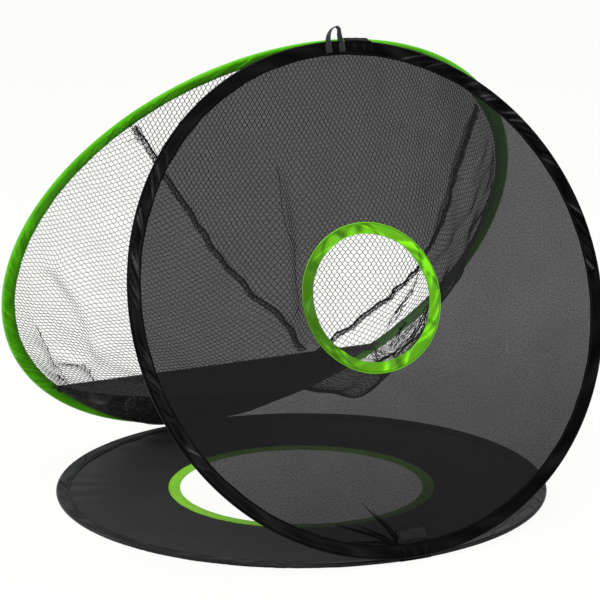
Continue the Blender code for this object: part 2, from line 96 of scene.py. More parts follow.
base = Hoop("base", (0, 0, 1))
front = Hoop("front", (0, -1, 1))
rear = Hoop("rear", (0, -1, -1))

SLEEVE_WIDTH = 18 * MM
TUBE_CENTRE = 3.02 * MM
TUBE_RADIUS = 2.9 * MM
PANEL_TUCK = 9 * MM


def hole_radius(node):
    """The open radius of a packed hole binding."""
    low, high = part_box(node)
    points = np.array([v.co for v in nodes[node].data.vertices])
    middle = (np.array(low) + np.array(high)) / 2
    return np.linalg.norm(points - middle, axis=1).min()


# Meshes -----------------------------------------------------------------------------------


def add_object(name, data):
    made = bpy.data.objects.new(name, data)
    bpy.context.scene.collection.objects.link(made)
    return made


def plain_mesh(name, points, faces, material, smooth=True):
    mesh = bpy.data.meshes.new(name)
    mesh.from_pydata(points, [], faces)
    mesh.materials.append(material)
    if smooth:
        mesh.shade_smooth()
    return add_object(name, mesh)


def grid_mesh(name, points, material, wrap_u=False, wrap_v=False, uv=None, smooth=True):
    """A mesh from an array of points (rows, columns, 3), its quads facing u cross v."""
    rows, columns = points.shape[:2]
    index = np.arange(rows * columns).reshape(rows, columns)
    u = np.concatenate([index, index[:1]]) if wrap_u else index
    u = np.concatenate([u, u[:, :1]], axis=1) if wrap_v else u
    quads = np.stack([u[:-1, :-1], u[1:, :-1], u[1:, 1:], u[:-1, 1:]], axis=-1).reshape(-1, 4)
    made = plain_mesh(name, points.reshape(-1, 3), quads, material, smooth)
    if uv is not None:
        places = np.arange(u.shape[0]), np.arange(u.shape[1])
        grid = np.stack(np.meshgrid(*places, indexing="ij"), axis=-1)
        cells = np.stack([grid[:-1, :-1], grid[1:, :-1], grid[1:, 1:], grid[:-1, 1:]], axis=-2).reshape(-1, 2)
        layer = made.data.uv_layers.new(name="cloth")
        layer.uv.foreach_set("vector", uv(cells[:, 0], cells[:, 1]).astype(np.float32).ravel())
    return made


def keep_fold_shade(piece, values):
    """Notes on each point a value from -1 to 1, mostly how far up a fold it lies, which the cloth's colour
    turns into painted highlight on ridges and painted shade in hollows.
    """
    layer = piece.data.attributes.new("fold", "FLOAT", "POINT")
    layer.data.foreach_set("value", np.clip(values, -1, 1).astype(np.float32).ravel())


def finish_piece(piece, body, slot, *replaced):
    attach(piece, body)
    if replaced:
        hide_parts(*replaced)
    return piece


# Materials --------------------------------------------------------------------------------


class Nodes:
    """A small helper round the node tree of a material or a world."""

    def __init__(self, owner, shader="Principled BSDF"):
        owner.use_nodes = True
        self.owner = owner
        self.tree = owner.node_tree
        self.shader = self.tree.nodes[shader]

    def add(self, kind, **values):
        node = self.tree.nodes.new(kind)
        for key, value in values.items():
            if hasattr(node, key):
                setattr(node, key, value)
            else:
                node.inputs[key.replace("_", " ")].default_value = value
        return node

    def link(self, source, target):
        self.tree.links.new(source, target)

    def cloth_place(self):
        """The place on the cloth, in metres."""
        place = self.add("ShaderNodeUVMap")
        place.uv_map = "cloth"
        return place.outputs[0]

    def noise(self, place, scale, detail, roughness):
        made = self.add("ShaderNodeTexNoise", Scale=scale, Detail=detail, Roughness=roughness)
        self.link(place, made.inputs["Vector"])
        return made.outputs["Fac"]

    def spread(self, value, start, end, low=0.0, high=1.0):
        """Maps a value from start and end to low and high."""
        made = self.add("ShaderNodeMapRange", From_Min=start, From_Max=end, To_Min=low, To_Max=high)
        self.link(value, made.inputs["Value"])
        return made.outputs[0]

    def compute(self, operation, *values):
        """One sum on numbers or on other nodes' outputs."""
        made = self.add("ShaderNodeMath", operation=operation)
        for socket, value in zip(made.inputs, values):
            if isinstance(value, (int, float)):
                socket.default_value = value
            else:
                self.link(value, socket)
        return made.outputs[0]

    def times(self, colour, factor):
        made = self.add("ShaderNodeMix", data_type="RGBA", blend_type="MULTIPLY")
        made.inputs[0].default_value = 1.0
        self.link(colour, made.inputs[6])
        self.link(factor, made.inputs[7])
        return made.outputs[2]

    def bump(self, height, strength, distance, invert=False):
        made = self.add("ShaderNodeBump", Strength=strength, Distance=distance)
        made.invert = invert
        self.link(height, made.inputs["Height"])
        self.link(made.outputs[0], self.shader.inputs["Normal"])

    def show_white(self, white, share, output):
        """Puts this share of white over the shader where it is seen, and leaves its light as it is."""
        paths = self.add("ShaderNodeLightPath")
        seen = self.compute("MAXIMUM", paths.outputs["Is Camera Ray"], paths.outputs["Is Transmission Ray"])
        mix = self.add("ShaderNodeMixShader")
        self.link(self.compute("MULTIPLY", seen, share), mix.inputs[0])
        self.link(self.shader.outputs[0], mix.inputs[1])
        self.link(white.outputs[0], mix.inputs[2])
        self.link(mix.outputs[0], self.tree.nodes[output].inputs["Surface"])

    def surface(self, **values):
        """Sets the plain inputs of the surface's own shader."""
        for name, value in values.items():
            self.shader.inputs[name.replace("_", " ")].default_value = value


def cloth_material(
    name,
    colour,
    other,
    roughness=0.5,
    weave=(900.0, 900.0),
    bump=0.3,
    depth=0.05 * MM,
    sheen=0.1,
    cloudy=9.0,
    specular=0.4,
    rim=None,
    contrast=1.0,
):
    """Woven cloth: two crossed thread waves for bump, a soft cloud between two colours, painted highlight and
    shade across the V when rim is given, and painted highlight and shade from the fold attribute when
    contrast is over 1.
    """
    made = Nodes(bpy.data.materials.new(name))
    place = made.cloth_place()
    mix = made.add("ShaderNodeMix", data_type="RGBA")
    made.link(made.spread(made.noise(place, cloudy, 5.0, 0.62), 0.3, 0.7), mix.inputs[0])
    mix.inputs[6].default_value = (*colour, 1)
    mix.inputs[7].default_value = (*other, 1)
    fine = made.noise(place, 650.0, 2.0, 0.5)
    coloured = made.times(mix.outputs[2], made.spread(fine, 0.0, 1.0, 0.82, 1.18))
    # Painted highlight and shade: lighter where the V is near its middle, a sleeve's outer rim, and darker
    # towards its ends, the sleeve's inner edges.
    if rim is not None:
        middle, inner, outer = rim
        apart = made.add("ShaderNodeSeparateXYZ")
        made.link(place, apart.inputs[0])
        away = made.compute("ABSOLUTE", made.compute("SUBTRACT", apart.outputs["Y"], middle))
        coloured = made.times(coloured, made.spread(away, 0.0, middle, inner, outer))
    # Painted shade and highlight: the fold attribute darkens the colour in hollows and lightens it on ridges.
    if contrast > 1:
        fold = made.add("ShaderNodeAttribute")
        fold.attribute_name = "fold"
        coloured = made.times(coloured, made.compute("POWER", contrast, fold.outputs["Fac"]))
    made.link(coloured, made.shader.inputs["Base Color"])
    waves = []
    for direction, pitch in zip(("X", "Y"), weave):
        wave = made.add("ShaderNodeTexWave", bands_direction=direction, Scale=pitch / 20)
        made.link(place, wave.inputs["Vector"])
        waves.append(wave.outputs["Fac"])
    made.bump(made.compute("MAXIMUM", *waves), bump, depth)
    made.surface(Roughness=roughness, Specular_IOR_Level=specular, Sheen_Weight=sheen, Sheen_Roughness=0.4)
    return made.owner


def satin(name, colour, other, roughness, specular, cloudy=24, **more):
    return cloth_material(name, colour, other, roughness, weave=(1400.0, 500.0), sheen=0.0,
                          cloudy=cloudy, specular=specular, **{"bump": 0.15, **more})


# The satins' contrasts paint highlight on the ridges of their folds and shade in their hollows.
BLACK_SATIN = satin("black_satin", (0.0012, 0.0012, 0.0013), (0.0022, 0.0022, 0.0025), 0.27, 0.035,
                    cloudy=30, contrast=28.0)
FLOOR_SATIN = satin("floor_satin", (0.009, 0.009, 0.0095), (0.017, 0.017, 0.018), 0.33, 0.12,
                    cloudy=30, contrast=4.0)
# The green sleeve's rim paints it lighter round the hoop's outer rim and darker towards its inner edges:
# painted highlight and shade.
GREEN_SATIN = satin("green_satin", (0.05, 0.31, 0.0008), (0.085, 0.42, 0.002), 0.34, 0.14,
                    rim=(0.0245, 1.5, 0.45), contrast=1.5)
LIME_SATIN = satin("lime_satin", (0.22, 0.6, 0.03), (0.29, 0.7, 0.045), 0.42, 0.2)
HOLE_SATIN = satin("hole_satin", (0.07, 0.27, 0.003), (0.1, 0.34, 0.004), 0.3, 0.1, bump=0.12, contrast=2.3)
TAFFETA = cloth_material(
    "black_taffeta", (0.015, 0.015, 0.016), (0.021, 0.021, 0.022), roughness=0.45,
    weave=(2200.0, 2200.0), bump=0.2, sheen=0.02, cloudy=6, specular=0.16,
)
WEBBING = cloth_material(
    "black_webbing", (0.006, 0.006, 0.007), (0.012, 0.012, 0.013), roughness=0.7,
    weave=(900.0, 450.0), bump=0.6, depth=0.15 * MM, sheen=0.2, cloudy=60, specular=0.3,
)
HEM_WEBBING = cloth_material(
    "hem_webbing", (0.004, 0.004, 0.0045), (0.012, 0.012, 0.013), roughness=0.55,
    weave=(700.0, 350.0), bump=0.7, depth=0.2 * MM, sheen=0.0, cloudy=220, specular=0.12,
)
THREAD = cloth_material(
    "black_thread", (0.002, 0.002, 0.0022), (0.004, 0.004, 0.0045), roughness=0.6, cloudy=90,
    sheen=0.0, specular=0.12,
)
GREEN_THREAD = cloth_material(
    "green_thread", (0.02, 0.15, 0.001), (0.03, 0.2, 0.002), roughness=0.6, cloudy=90,
)


NETTING = cloth_material(
    "net_thread", (0.006, 0.006, 0.007), (0.012, 0.012, 0.013), roughness=0.5, cloudy=40,
)


def sheer_material():
    """Fine mesh cloth: most of it dark threads, the rest open, with an uneven grain and painted shade: it
    lets less through towards the bottom.
    """
    made = Nodes(bpy.data.materials.new("sheer_mesh"))
    place = made.cloth_place()
    cover = made.spread(made.noise(place, 600.0, 2.0, 0.6), 0.36, 0.64, 0.872, 0.953)
    height = made.add("ShaderNodeSeparateXYZ")
    made.link(place, height.inputs[0])
    # Painted shade: the open share drops to 0.42 towards the panel's bottom, so the panel is darker there.
    shade_below = made.spread(height.outputs["Y"], -0.31, -0.04, 0.42, 1.0)
    drift = made.spread(made.noise(place, 14.0, 3.0, 0.6), 0.3, 0.7, 0.92, 1.08)
    gap = made.compute("SUBTRACT", 1.0, cover)
    for factor in (shade_below, drift):
        gap = made.compute("MULTIPLY", gap, factor)
    made.link(made.compute("SUBTRACT", 1.0, gap), made.shader.inputs["Alpha"])
    made.surface(Base_Color=(0.0085, 0.008, 0.009, 1), Roughness=0.75, Specular_IOR_Level=0.05)
    made.surface(Sheen_Weight=0.0)
    return made.owner


SHEER = sheer_material()


def flap_material():
    """Doubled black netting: small cells that let a little light through in streaks."""
    made = Nodes(bpy.data.materials.new("flap_mesh"))
    place = made.cloth_place()
    cells = made.add("ShaderNodeTexVoronoi", feature="DISTANCE_TO_EDGE", Scale=270.0, Randomness=0.45)
    made.link(place, cells.inputs["Vector"])
    distance = cells.outputs["Distance"]
    stretch = made.add("ShaderNodeMapping")
    stretch.inputs["Scale"].default_value = (1.0, 0.35, 1.0)
    stretch.inputs["Rotation"].default_value = (0, 0, 0.5)
    made.link(place, stretch.inputs["Vector"])
    bright = made.spread(made.noise(stretch.outputs[0], 85.0, 4.0, 0.7), 0.4, 0.7, 0.03, 0.3)
    through = made.compute("MULTIPLY", made.spread(distance, 0.08, 0.3), bright)
    made.link(made.compute("SUBTRACT", 1.0, through), made.shader.inputs["Alpha"])
    made.bump(distance, 0.9, 0.4 * MM, invert=True)
    made.link(made.spread(distance, 0.02, 0.16, 0.05, 0.004), made.shader.inputs["Base Color"])
    made.surface(Roughness=0.5, Specular_IOR_Level=0.25)
    return made.owner


FLAP_MESH = flap_material()


def steel_material():
    made = Nodes(bpy.data.materials.new("spring_steel"))
    scratches = made.add("ShaderNodeTexNoise", Scale=400.0, Detail=3.0)
    made.link(made.spread(scratches.outputs["Fac"], 0.0, 1.0, 0.25, 0.45), made.shader.inputs["Roughness"])
    made.surface(Base_Color=(0.45, 0.45, 0.46, 1), Metallic=1.0)
    return made.owner


STEEL = steel_material()
for node in nodes.values():
    if node.name.endswith(("_wire", "_ferrule")):
        node.data.materials.clear()
        node.data.materials.append(STEEL)


# Sleeves ----------------------------------------------------------------------------------

# Half of a sleeve's section: distance in from the outer edge and height over the middle.
LIP_SECTION = ((18, 0.62), (17.6, 0.95), (17.0, 1.1), (16.3, 1.0), (15.8, 0.72), (15.2, 1.0),
               (14, 1.35), (12.5, 1.62), (11, 1.85), (9.5, 2.05), (8, 2.22), (6.4, 2.42))
TUBE_STEPS = 9
TUBE_START = math.radians(115)


def sleeve_section():
    """Distances in from the outer edge and heights, once round the section."""
    lips = [(d * MM, n * MM) for d, n in LIP_SECTION]
    tube = []
    for k in range(TUBE_STEPS):
        phi = TUBE_START * (1 - k / (TUBE_STEPS - 1))
        tube.append((TUBE_CENTRE - TUBE_RADIUS * math.cos(phi), TUBE_RADIUS * math.sin(phi)))
    upper = lips + tube
    lower = [(d, -n) for d, n in reversed(upper[:-1])]
    return np.array(upper + lower).T


def ridges(along, across, seed, count, zones, height, width, slope):
    """Heights of slanted cloth folds over a band, along and across it in metres."""
    rng = np.random.default_rng(seed)
    total = np.zeros(np.broadcast(along, across).shape)
    spans = np.array([b - a for a, b in zones])
    for _ in range(count):
        zone = zones[rng.choice(len(zones), p=spans / spans.sum())]
        middle = rng.uniform(*zone)
        lean = rng.uniform(*slope)
        size = rng.uniform(0.35, 1.0) * height * rng.choice((1, 1, -1))
        thick = rng.uniform(0.7, 1.5) * width
        reach = rng.uniform(0.5, 1.0)
        offset = (along - middle - lean * (across - 0.5) * SLEEVE_WIDTH) / thick
        fade = np.clip(1 - np.abs((across - rng.uniform(0.35, 0.65)) / reach) ** 2, 0, 1)
        total = total + size * np.exp(-(offset**2)) * fade
    return total


def sleeve(hoop, name, material, slot, seed, zones, height=0.9 * MM, count=90, steps=1536):
    """The satin sleeve round a hoop, puckered in the given zones of angle in degrees."""
    inward, rise = sleeve_section()
    angle = np.linspace(0, TURN, steps, endpoint=False)[:, None]
    share = (inward / SLEEVE_WIDTH)[None, :]
    along = angle * hoop.radius
    spans = [tuple(math.radians(v) * hoop.radius for v in zone) for zone in zones]
    folds = ridges(along, share, seed, count, spans, height, 2.0 * MM, (1.2, 2.6))
    under = ridges(along, share, seed + 1, count, spans, height, 2.0 * MM, (-2.6, -1.2))
    soft = 0.25 * MM * np.sin(along / 0.013 + 3 * share) * np.sin(along / 0.047 + seed)
    hold = np.clip(np.sin(np.pi * np.clip(share, 0, 1)) * 1.5, 0, 1) * (share < 0.97)
    side = np.sign(rise)[None, :] * (np.abs(rise) > 0.3 * MM)
    lift = np.where(side > 0, folds, under) + soft
    n = rise[None, :] + side * hold * lift
    n = np.where(side > 0, np.maximum(n, 0.6 * MM), np.minimum(n, -0.6 * MM))
    n = np.where(side == 0, rise[None, :], n)
    floor_limit = TUBE_CENTRE - 0.05 * MM
    n = np.clip(n, -floor_limit, None) if hoop is base else n
    wander = 0.35 * MM * np.sin(along / 0.021 + seed) * np.sin(along / 0.009 + 2 * seed)
    r = hoop.radius - inward[None, :] + wander * (share > 0.8)
    lengths = np.cumsum(np.hypot(np.diff(inward, append=inward[0]), np.diff(rise, append=rise[0])))
    around = np.concatenate([[0], lengths])

    def uv(row, column):
        return np.stack([row / steps * TURN * hoop.radius, around[column]], axis=-1)

    points = hoop.place(r, angle, n)
    piece = grid_mesh(name, points, material, wrap_u=True, wrap_v=True, uv=uv)
    # The folds' heights go to the colour: painted highlight on the ridges, painted shade in the hollows.
    keep_fold_shade(piece, hold * lift / (0.75 * height))
    return finish_piece(piece, hoop.body, slot, f"{hoop.body}_sleeve")


def stitch_row(hoop, name, r, n, material, slot, pitch=3.1 * MM):
    """A closed row of short thread stitches lying along a hoop."""
    count = int(TURN * r / pitch)
    middle = np.arange(count) / count * TURN
    half = 0.36 * pitch / r
    thick = 0.26 * MM
    rings = []
    for share, size in ((-1, 0.35), (-0.6, 1), (0.6, 1), (1, 0.35)):
        dive = -0.25 * MM * (abs(share) == 1)
        for k in range(4):
            turn = math.pi / 4 + k * math.pi / 2
            across, up = thick * size * math.cos(turn), thick * size * math.sin(turn)
            height = n + dive + up * np.sign(n)
            rings.append(hoop.place(r + across, middle + share * half, height))
    points = np.stack(rings, axis=1)
    faces = []
    for row in range(3):
        for k in range(4):
            j = (k + 1) % 4
            faces.append((row * 4 + k, row * 4 + j, row * 4 + 4 + j, row * 4 + 4 + k))
    faces += [(3, 2, 1, 0), (12, 13, 14, 15)]
    faces = np.array(faces)
    every = (faces[None] + 16 * np.arange(count)[:, None, None]).reshape(-1, 4)
    return finish_piece(plain_mesh(name, points.reshape(-1, 3), every, material), hoop.body, slot)


def stitch_rows(hoop, name, r, n, material, slot):
    """A row of stitches on the outer side of the cloth and one on its inner side."""
    stitch_row(hoop, f"{name}_out", r, n, material, slot)
    stitch_row(hoop, f"{name}_in", r, -n, material, slot)


base_hem = sleeve(base, "base_sleeve_satin", FLOOR_SATIN, "black_satin", 3, ((120, 250), (290, 400)))
front_hem = sleeve(front, "front_sleeve_satin", BLACK_SATIN, "black_satin", 5, ((140, 215), (-60, 70)))
rear_hem = sleeve(rear, "rear_sleeve_satin", GREEN_SATIN, "green_satin", 8, ((165, 226), (100, 150)))

STITCH_IN = 15.8 * MM
for hoop, thread, slot in ((base, THREAD, "black_satin"), (front, THREAD, "black_satin"),
                           (rear, GREEN_THREAD, "green_satin")):
    stitch_rows(hoop, f"{hoop.body}_sleeve_stitches", hoop.radius - STITCH_IN, 0.85 * MM, thread, slot)


# Panels -----------------------------------------------------------------------------------


def polar_sheet(hoop, name, material, inner, outer, rings, turns, height):
    """A flat ring of cloth; height(r, angle) gives how far it lies out of the plane."""
    r = np.linspace(inner, outer, rings)[:, None]
    angle = np.linspace(0, TURN, turns, endpoint=False)[None, :]
    points = hoop.place(r, angle, height(r, angle))

    def uv(row, column):
        reach = inner + (outer - inner) * row / (rings - 1)
        turn = column / turns * TURN
        return np.stack([reach * np.cos(turn), reach * np.sin(turn)], axis=-1)

    return grid_mesh(name, points, material, wrap_v=True, uv=uv)


def smoothstep(value, low, high):
    t = np.clip((value - low) / (high - low), 0, 1)
    return t * t * (3 - 2 * t)


def base_height(r, angle):
    """Small puckers that run in from the sleeve and out from the hole, and a soft unevenness."""
    edge = smoothstep(r, base.radius - 90 * MM, base.radius - 20 * MM)
    hole = 1 - smoothstep(r, BASE_HOLE + 10 * MM, BASE_HOLE + 60 * MM)
    x, y = r * np.cos(angle), r * np.sin(angle)
    radial = np.sin(41 * angle + 2 * np.sin(5 * angle)) * (0.5 + 0.5 * np.sin(7 * angle + 1))
    lift = 0.55 * MM * edge * radial
    lift = lift + 0.35 * MM * hole * np.sin(29 * angle + 1.7)
    lift = lift + 0.5 * MM * np.sin(x / 0.037 + 1) * np.sin(y / 0.051)
    return np.clip(lift, -2.2 * MM, 2.4 * MM) * smoothstep(r, BASE_HOLE, BASE_HOLE + 20 * MM)


def front_height(r, angle):
    """A nearly flat stretched panel with faint long ripples."""
    x, y = r * np.cos(angle), r * np.sin(angle)
    lift = 0.6 * MM * np.sin(x / 0.06 + 0.8) * np.cos(y / 0.09)
    edge = smoothstep(r, FRONT_HOLE, FRONT_HOLE + 25 * MM)
    return lift * edge * (1 - smoothstep(r, front.radius - 60 * MM, front.radius - 15 * MM))


BASE_HOLE = hole_radius("base_hole_binding")
FRONT_HOLE = hole_radius("front_hole_binding")

base_cloth = polar_sheet(base, "base_panel_taffeta", TAFFETA, BASE_HOLE + 1 * MM,
                         base.radius - PANEL_TUCK, 60, 720, base_height)
finish_piece(base_cloth, "base", "black_cloth", "base_panel")

front_cloth = polar_sheet(front, "front_panel_sheer", SHEER, FRONT_HOLE + 5 * MM,
                          front.radius - PANEL_TUCK, 96, 540, front_height)
finish_piece(front_cloth, "front", "sheer_mesh", "front_panel")


def binding(hoop, name, material, slot, hole, width, seed, crumple, shaded=False, steps=960):
    """Satin tape folded over a hole's edge, crumpled between its stitched edge and its fold, with painted
    highlight and shade kept for its colour.
    """
    upper = [(width, 0.6), (width - 0.3 * MM, 0.85), (width - 1.2 * MM, 0.8), (width - 2 * MM, 0.68)]
    for share in (0.8, 0.7, 0.6, 0.5, 0.4, 0.3, 0.2, 0.12):
        puff = 0.75 + 0.75 * math.sin(math.pi * share)
        upper.append((share * width, puff))
    fold = [(0.9 * MM, 0.85), (0.35 * MM, 0.55), (0.1 * MM, 0.0)]
    half = upper + fold
    section = half + [(d, -n) for d, n in reversed(half[:-1])]
    outward, rise = np.array(section).T
    rise = rise * MM
    angle = np.linspace(0, TURN, steps, endpoint=False)[:, None]
    share = (outward / width)[None, :]
    along = angle * hole
    spans = [(0, TURN * hole)]
    across = share * width / SLEEVE_WIDTH
    folds = ridges(along, across, seed, 40, spans, crumple, 4.0 * MM, (-3.2, 3.2))
    under = ridges(along, across, seed + 7, 40, spans, crumple, 4.0 * MM, (-3.2, 3.2))
    hold = np.clip((0.92 - share) * 8, 0, 1)
    side = np.sign(rise)[None, :]
    n = rise[None, :] + side * hold * np.where(side > 0, folds, under)
    n = np.where(side > 0, np.maximum(n, 0.45 * MM), np.minimum(n, -0.45 * MM))
    n = np.where(side == 0, 0, n)
    rng = np.random.default_rng(seed + 20)
    drift = np.zeros_like(angle)
    for k in (2, 3, 5, 7, 9, 13):
        drift = drift + rng.normal() * np.sin(k * angle + rng.uniform(0, TURN)) / k
    r = hole + outward[None, :] + crumple * drift * (1 - 0.65 * share)
    around = np.concatenate([[0], np.cumsum(np.abs(np.diff(outward, append=outward[0])))])

    def uv(row, column):
        return np.stack([row / steps * TURN * hole, around[column]], axis=-1)

    points = hoop.place(r, angle, n)
    piece = grid_mesh(name, points, material, wrap_u=True, wrap_v=True, uv=uv)
    # Painted light for the tape's colour: a painted highlight along its outer edge and a darker band along
    # the stitch line; when shaded, a painted highlight over the top of the ring and painted shade on its left
    # side; and the crumples painted lighter on their ridges and darker in their hollows.
    edge = np.where(share > 0.965, 0.9, 0) - 0.8 * np.exp(-(((share - 0.9) / 0.035) ** 2))
    lit_top = 0.85 * np.exp(-(((angle - math.radians(100)) / 0.6) ** 2))
    from_left = (angle - math.radians(192) + math.pi) % TURN - math.pi
    painted_light_and_shade = lit_top - 2.0 * np.exp(-((from_left / 0.8) ** 2))
    crumples = (1.5 if shaded else 1) * hold * np.where(side > 0, folds, under) / crumple
    keep_fold_shade(piece, edge + (painted_light_and_shade if shaded else 0) * (1 - 0.5 * share) + crumples)
    return finish_piece(piece, hoop.body, slot, f"{hoop.body}_hole_binding")


BASE_TAPE = 15 * MM
FRONT_TAPE = 14.8 * MM
FRONT_FOLD = FRONT_HOLE + 3.2 * MM
base_tape = binding(base, "base_hole_tape", LIME_SATIN, "lime_binding", BASE_HOLE, BASE_TAPE, 11, 0.5 * MM)
# The front tape is shaded: its top painted lighter and its left side painted darker, painted highlight and
# shade.
front_tape = binding(front, "front_hole_tape", HOLE_SATIN, "lime_binding", FRONT_FOLD, FRONT_TAPE, 31,
                     1.7 * MM, shaded=True)
for hoop, hole, tape in ((base, BASE_HOLE, BASE_TAPE), (front, FRONT_FOLD, FRONT_TAPE)):
    stitch_rows(hoop, f"{hoop.body}_hole_stitches", hole + tape - 2 * MM, 0.8 * MM, GREEN_THREAD,
                "lime_binding")


# Netting ----------------------------------------------------------------------------------

FLAP_TOP = -243 * MM
BAG_APEX = np.array([0.0, -21 * MM])
BAG_DEPTH = 187 * MM
EDGE_GAP = 1.2 * MM
BAG_ROWS = 130
BAG_COLUMNS = 432
FINE_ROWS = 400
TIP_SHARE = 0.03

# How the net hangs at the top, the left side, the right side and along the flap.
FULLNESS = (1.2, 1.25, 2.2, 1.35)
SAG = (12 * MM, 20 * MM, 21 * MM, 24 * MM)
SEAM_ANGLES = (39.5, 134)
# How far round, in degrees, each seam has drifted at a share of the way to the bag's tip.
RIGHT_DRIFT = ((0, 0), (0.17, 0), (0.35, -3.5), (0.47, -4.5), (0.6, -2), (0.7, 3), (0.8, 5),
               (0.88, 8), (1, 0))
LEFT_DRIFT = ((0, 0), (0.46, 0.8), (0.61, -0.3), (0.69, -1.5), (0.76, -5), (0.83, -8.5), (0.94, -2), (1, 0))
DRIFT_REACH = math.radians(32)
DOWN = np.array([0, -rear.ey[2], -rear.en[2]])


def round_the_bag(edge, top, left, right, bottom):
    """A value for these places on the net's edge, between those at its four sides."""
    height = edge[..., 1] / np.linalg.norm(edge, axis=-1)
    side = np.where(edge[..., 0] > 0, right, left)
    return side + (np.where(height > 0, top, bottom) - side) * height**4


def net_edge(reach, chord_height):
    """Angles round the net's edge from the right end of the flap's top, and where its rim ends."""
    corner = math.asin(chord_height / reach)
    arc = reach * (math.pi - 2 * corner)
    chord = 2 * reach * math.cos(corner)
    run = np.arange(BAG_COLUMNS) / BAG_COLUMNS * (arc + chord)
    angle = corner + np.minimum(run, arc) / reach
    along_chord = np.maximum(run - arc, 0) / chord
    return angle, along_chord


def edge_places(reach, chord_height, angle, along_chord):
    """Places on the net's edge at a reach from the middle, on the rim and then on the flap."""
    rim = np.stack([reach * np.cos(angle), reach * np.sin(angle)], axis=-1)
    half = math.sqrt(reach**2 - chord_height**2)
    x = -half + 2 * half * along_chord
    chord = np.stack([x, np.full_like(x, chord_height)], axis=-1)
    return np.where((along_chord > 0)[..., None], chord, rim)


def hanging_net():
    """The net's places, its rows evenly spaced down each column, and the columns' lengths."""
    angle, along_chord = net_edge(rear.radius - PANEL_TUCK, FLAP_TOP)
    tucked = edge_places(rear.radius - PANEL_TUCK, FLAP_TOP, angle, along_chord)
    share = np.linspace(0, 1 - TIP_SHARE / 2, FINE_ROWS)[:, None]
    turned = angle
    for seam_angle, drift in zip(SEAM_ANGLES, (RIGHT_DRIFT, LEFT_DRIFT)):
        turn = np.radians(np.interp(share, *np.array(drift, float).T))
        turned = turned + turn * np.exp(-(((angle - math.radians(seam_angle)) / DRIFT_REACH) ** 2))
    start = edge_places(rear.radius - SLEEVE_WIDTH - EDGE_GAP, FLAP_TOP + EDGE_GAP,
                        turned, np.broadcast_to(along_chord, turned.shape))
    plan = start + (BAG_APEX - start) * share[..., None]
    depth = BAG_DEPTH * (1 - (1 - share) ** round_the_bag(start, *FULLNESS))
    slack = round_the_bag(start, *SAG) * 4 * share * (1 - share)
    fine = np.concatenate([plan, depth[..., None]], axis=-1) + slack[..., None] * DOWN
    rim = np.concatenate([tucked, np.zeros((BAG_COLUMNS, 1))], axis=-1)
    fine = np.concatenate([rim[None], fine])
    lengths = np.linalg.norm(np.diff(fine, axis=0), axis=-1).cumsum(0)
    lengths = np.concatenate([np.zeros((1, BAG_COLUMNS)), lengths])
    shape = np.empty((BAG_ROWS, BAG_COLUMNS, 3))
    for c in range(BAG_COLUMNS):
        even = np.linspace(0, lengths[-1, c], BAG_ROWS)
        for k in range(3):
            shape[:, c, k] = np.interp(even, lengths[:, c], fine[:, c, k])
    return shape, lengths[-1]


def net_normals(shape):
    down = np.gradient(shape, axis=0)
    side = np.roll(shape, -1, axis=1) - np.roll(shape, 1, axis=1)
    normal = np.cross(side, down)
    return normal / np.maximum(np.linalg.norm(normal, axis=-1, keepdims=True), 1e-12)


# Soft folds of the hanging net: its places in mm on the rear hoop, then width, pull and lift.
FOLDS = (
    (((-319, -61, 9), (-301, -89, 19), (-273, -145, 25), (-240, -205, 22)), 12, 2.8, 3.0),
    (((-328, 13, 5), (-301, 22, 27), (-276, -11, 49), (-254, -50, 64), (-235, -97, 70),
      (-215, -133, 74)), 15, 3.6, 4.5),
    (((-288, -120, 40), (-262, -150, 45), (-240, -134, 55), (-216, -176, 55)), 11, 2.2, 3.0),
    (((-59, 230, 61), (-40, 139, 114), (-32, 64, 154), (-15, -4, 183)), 14, 5.0, 8.0),
    (((305, 102, 17), (254, 84, 75), (215, 70, 111), (182, 67, 134), (150, 67, 150)), 14, 5.0, -3.0),
    (((150, 67, 150), (141, 48, 160), (131, 40, 166), (119, 25, 174), (113, 5, 178), (115, -30, 180)),
     8, 3.0, -1.5),
    (((196, 0, 140), (178, -25, 152), (168, -48, 157), (151, -54, 165), (131, -57, 173), (115, -64, 178)),
     9, 3.6, 2.0),
    (((286, 10, 50), (250, -10, 95), (210, -30, 130), (180, -60, 145)), 16, 4.0, 2.5),
)
# Where the net hangs slacker: a middle in mm on the rear hoop, a reach and how far it drops.
POCKETS = (((140, -145, 142), 50, 15), ((60, -90, 180), 34, 6))


def along_fold(points, line):
    """For each point: the offset from the nearest place on a line and that place's share."""
    line = np.array(line, float) * MM
    lengths = np.linalg.norm(np.diff(line, axis=0), axis=1)
    starts = np.concatenate([[0], np.cumsum(lengths)])
    best = np.full(points.shape[:-1], np.inf)
    offset, share = np.zeros_like(points), np.zeros(points.shape[:-1])
    for a, b, length, start in zip(line, line[1:], lengths, starts):
        t = np.clip((points - a) @ (b - a) / length**2, 0, 1)
        gap = points - a - t[..., None] * (b - a)
        near = np.linalg.norm(gap, axis=-1)
        closer = near < best
        best = np.where(closer, near, best)
        offset = np.where(closer[..., None], gap, offset)
        share = np.where(closer, (start + t * length) / starts[-1], share)
    return offset, best, share


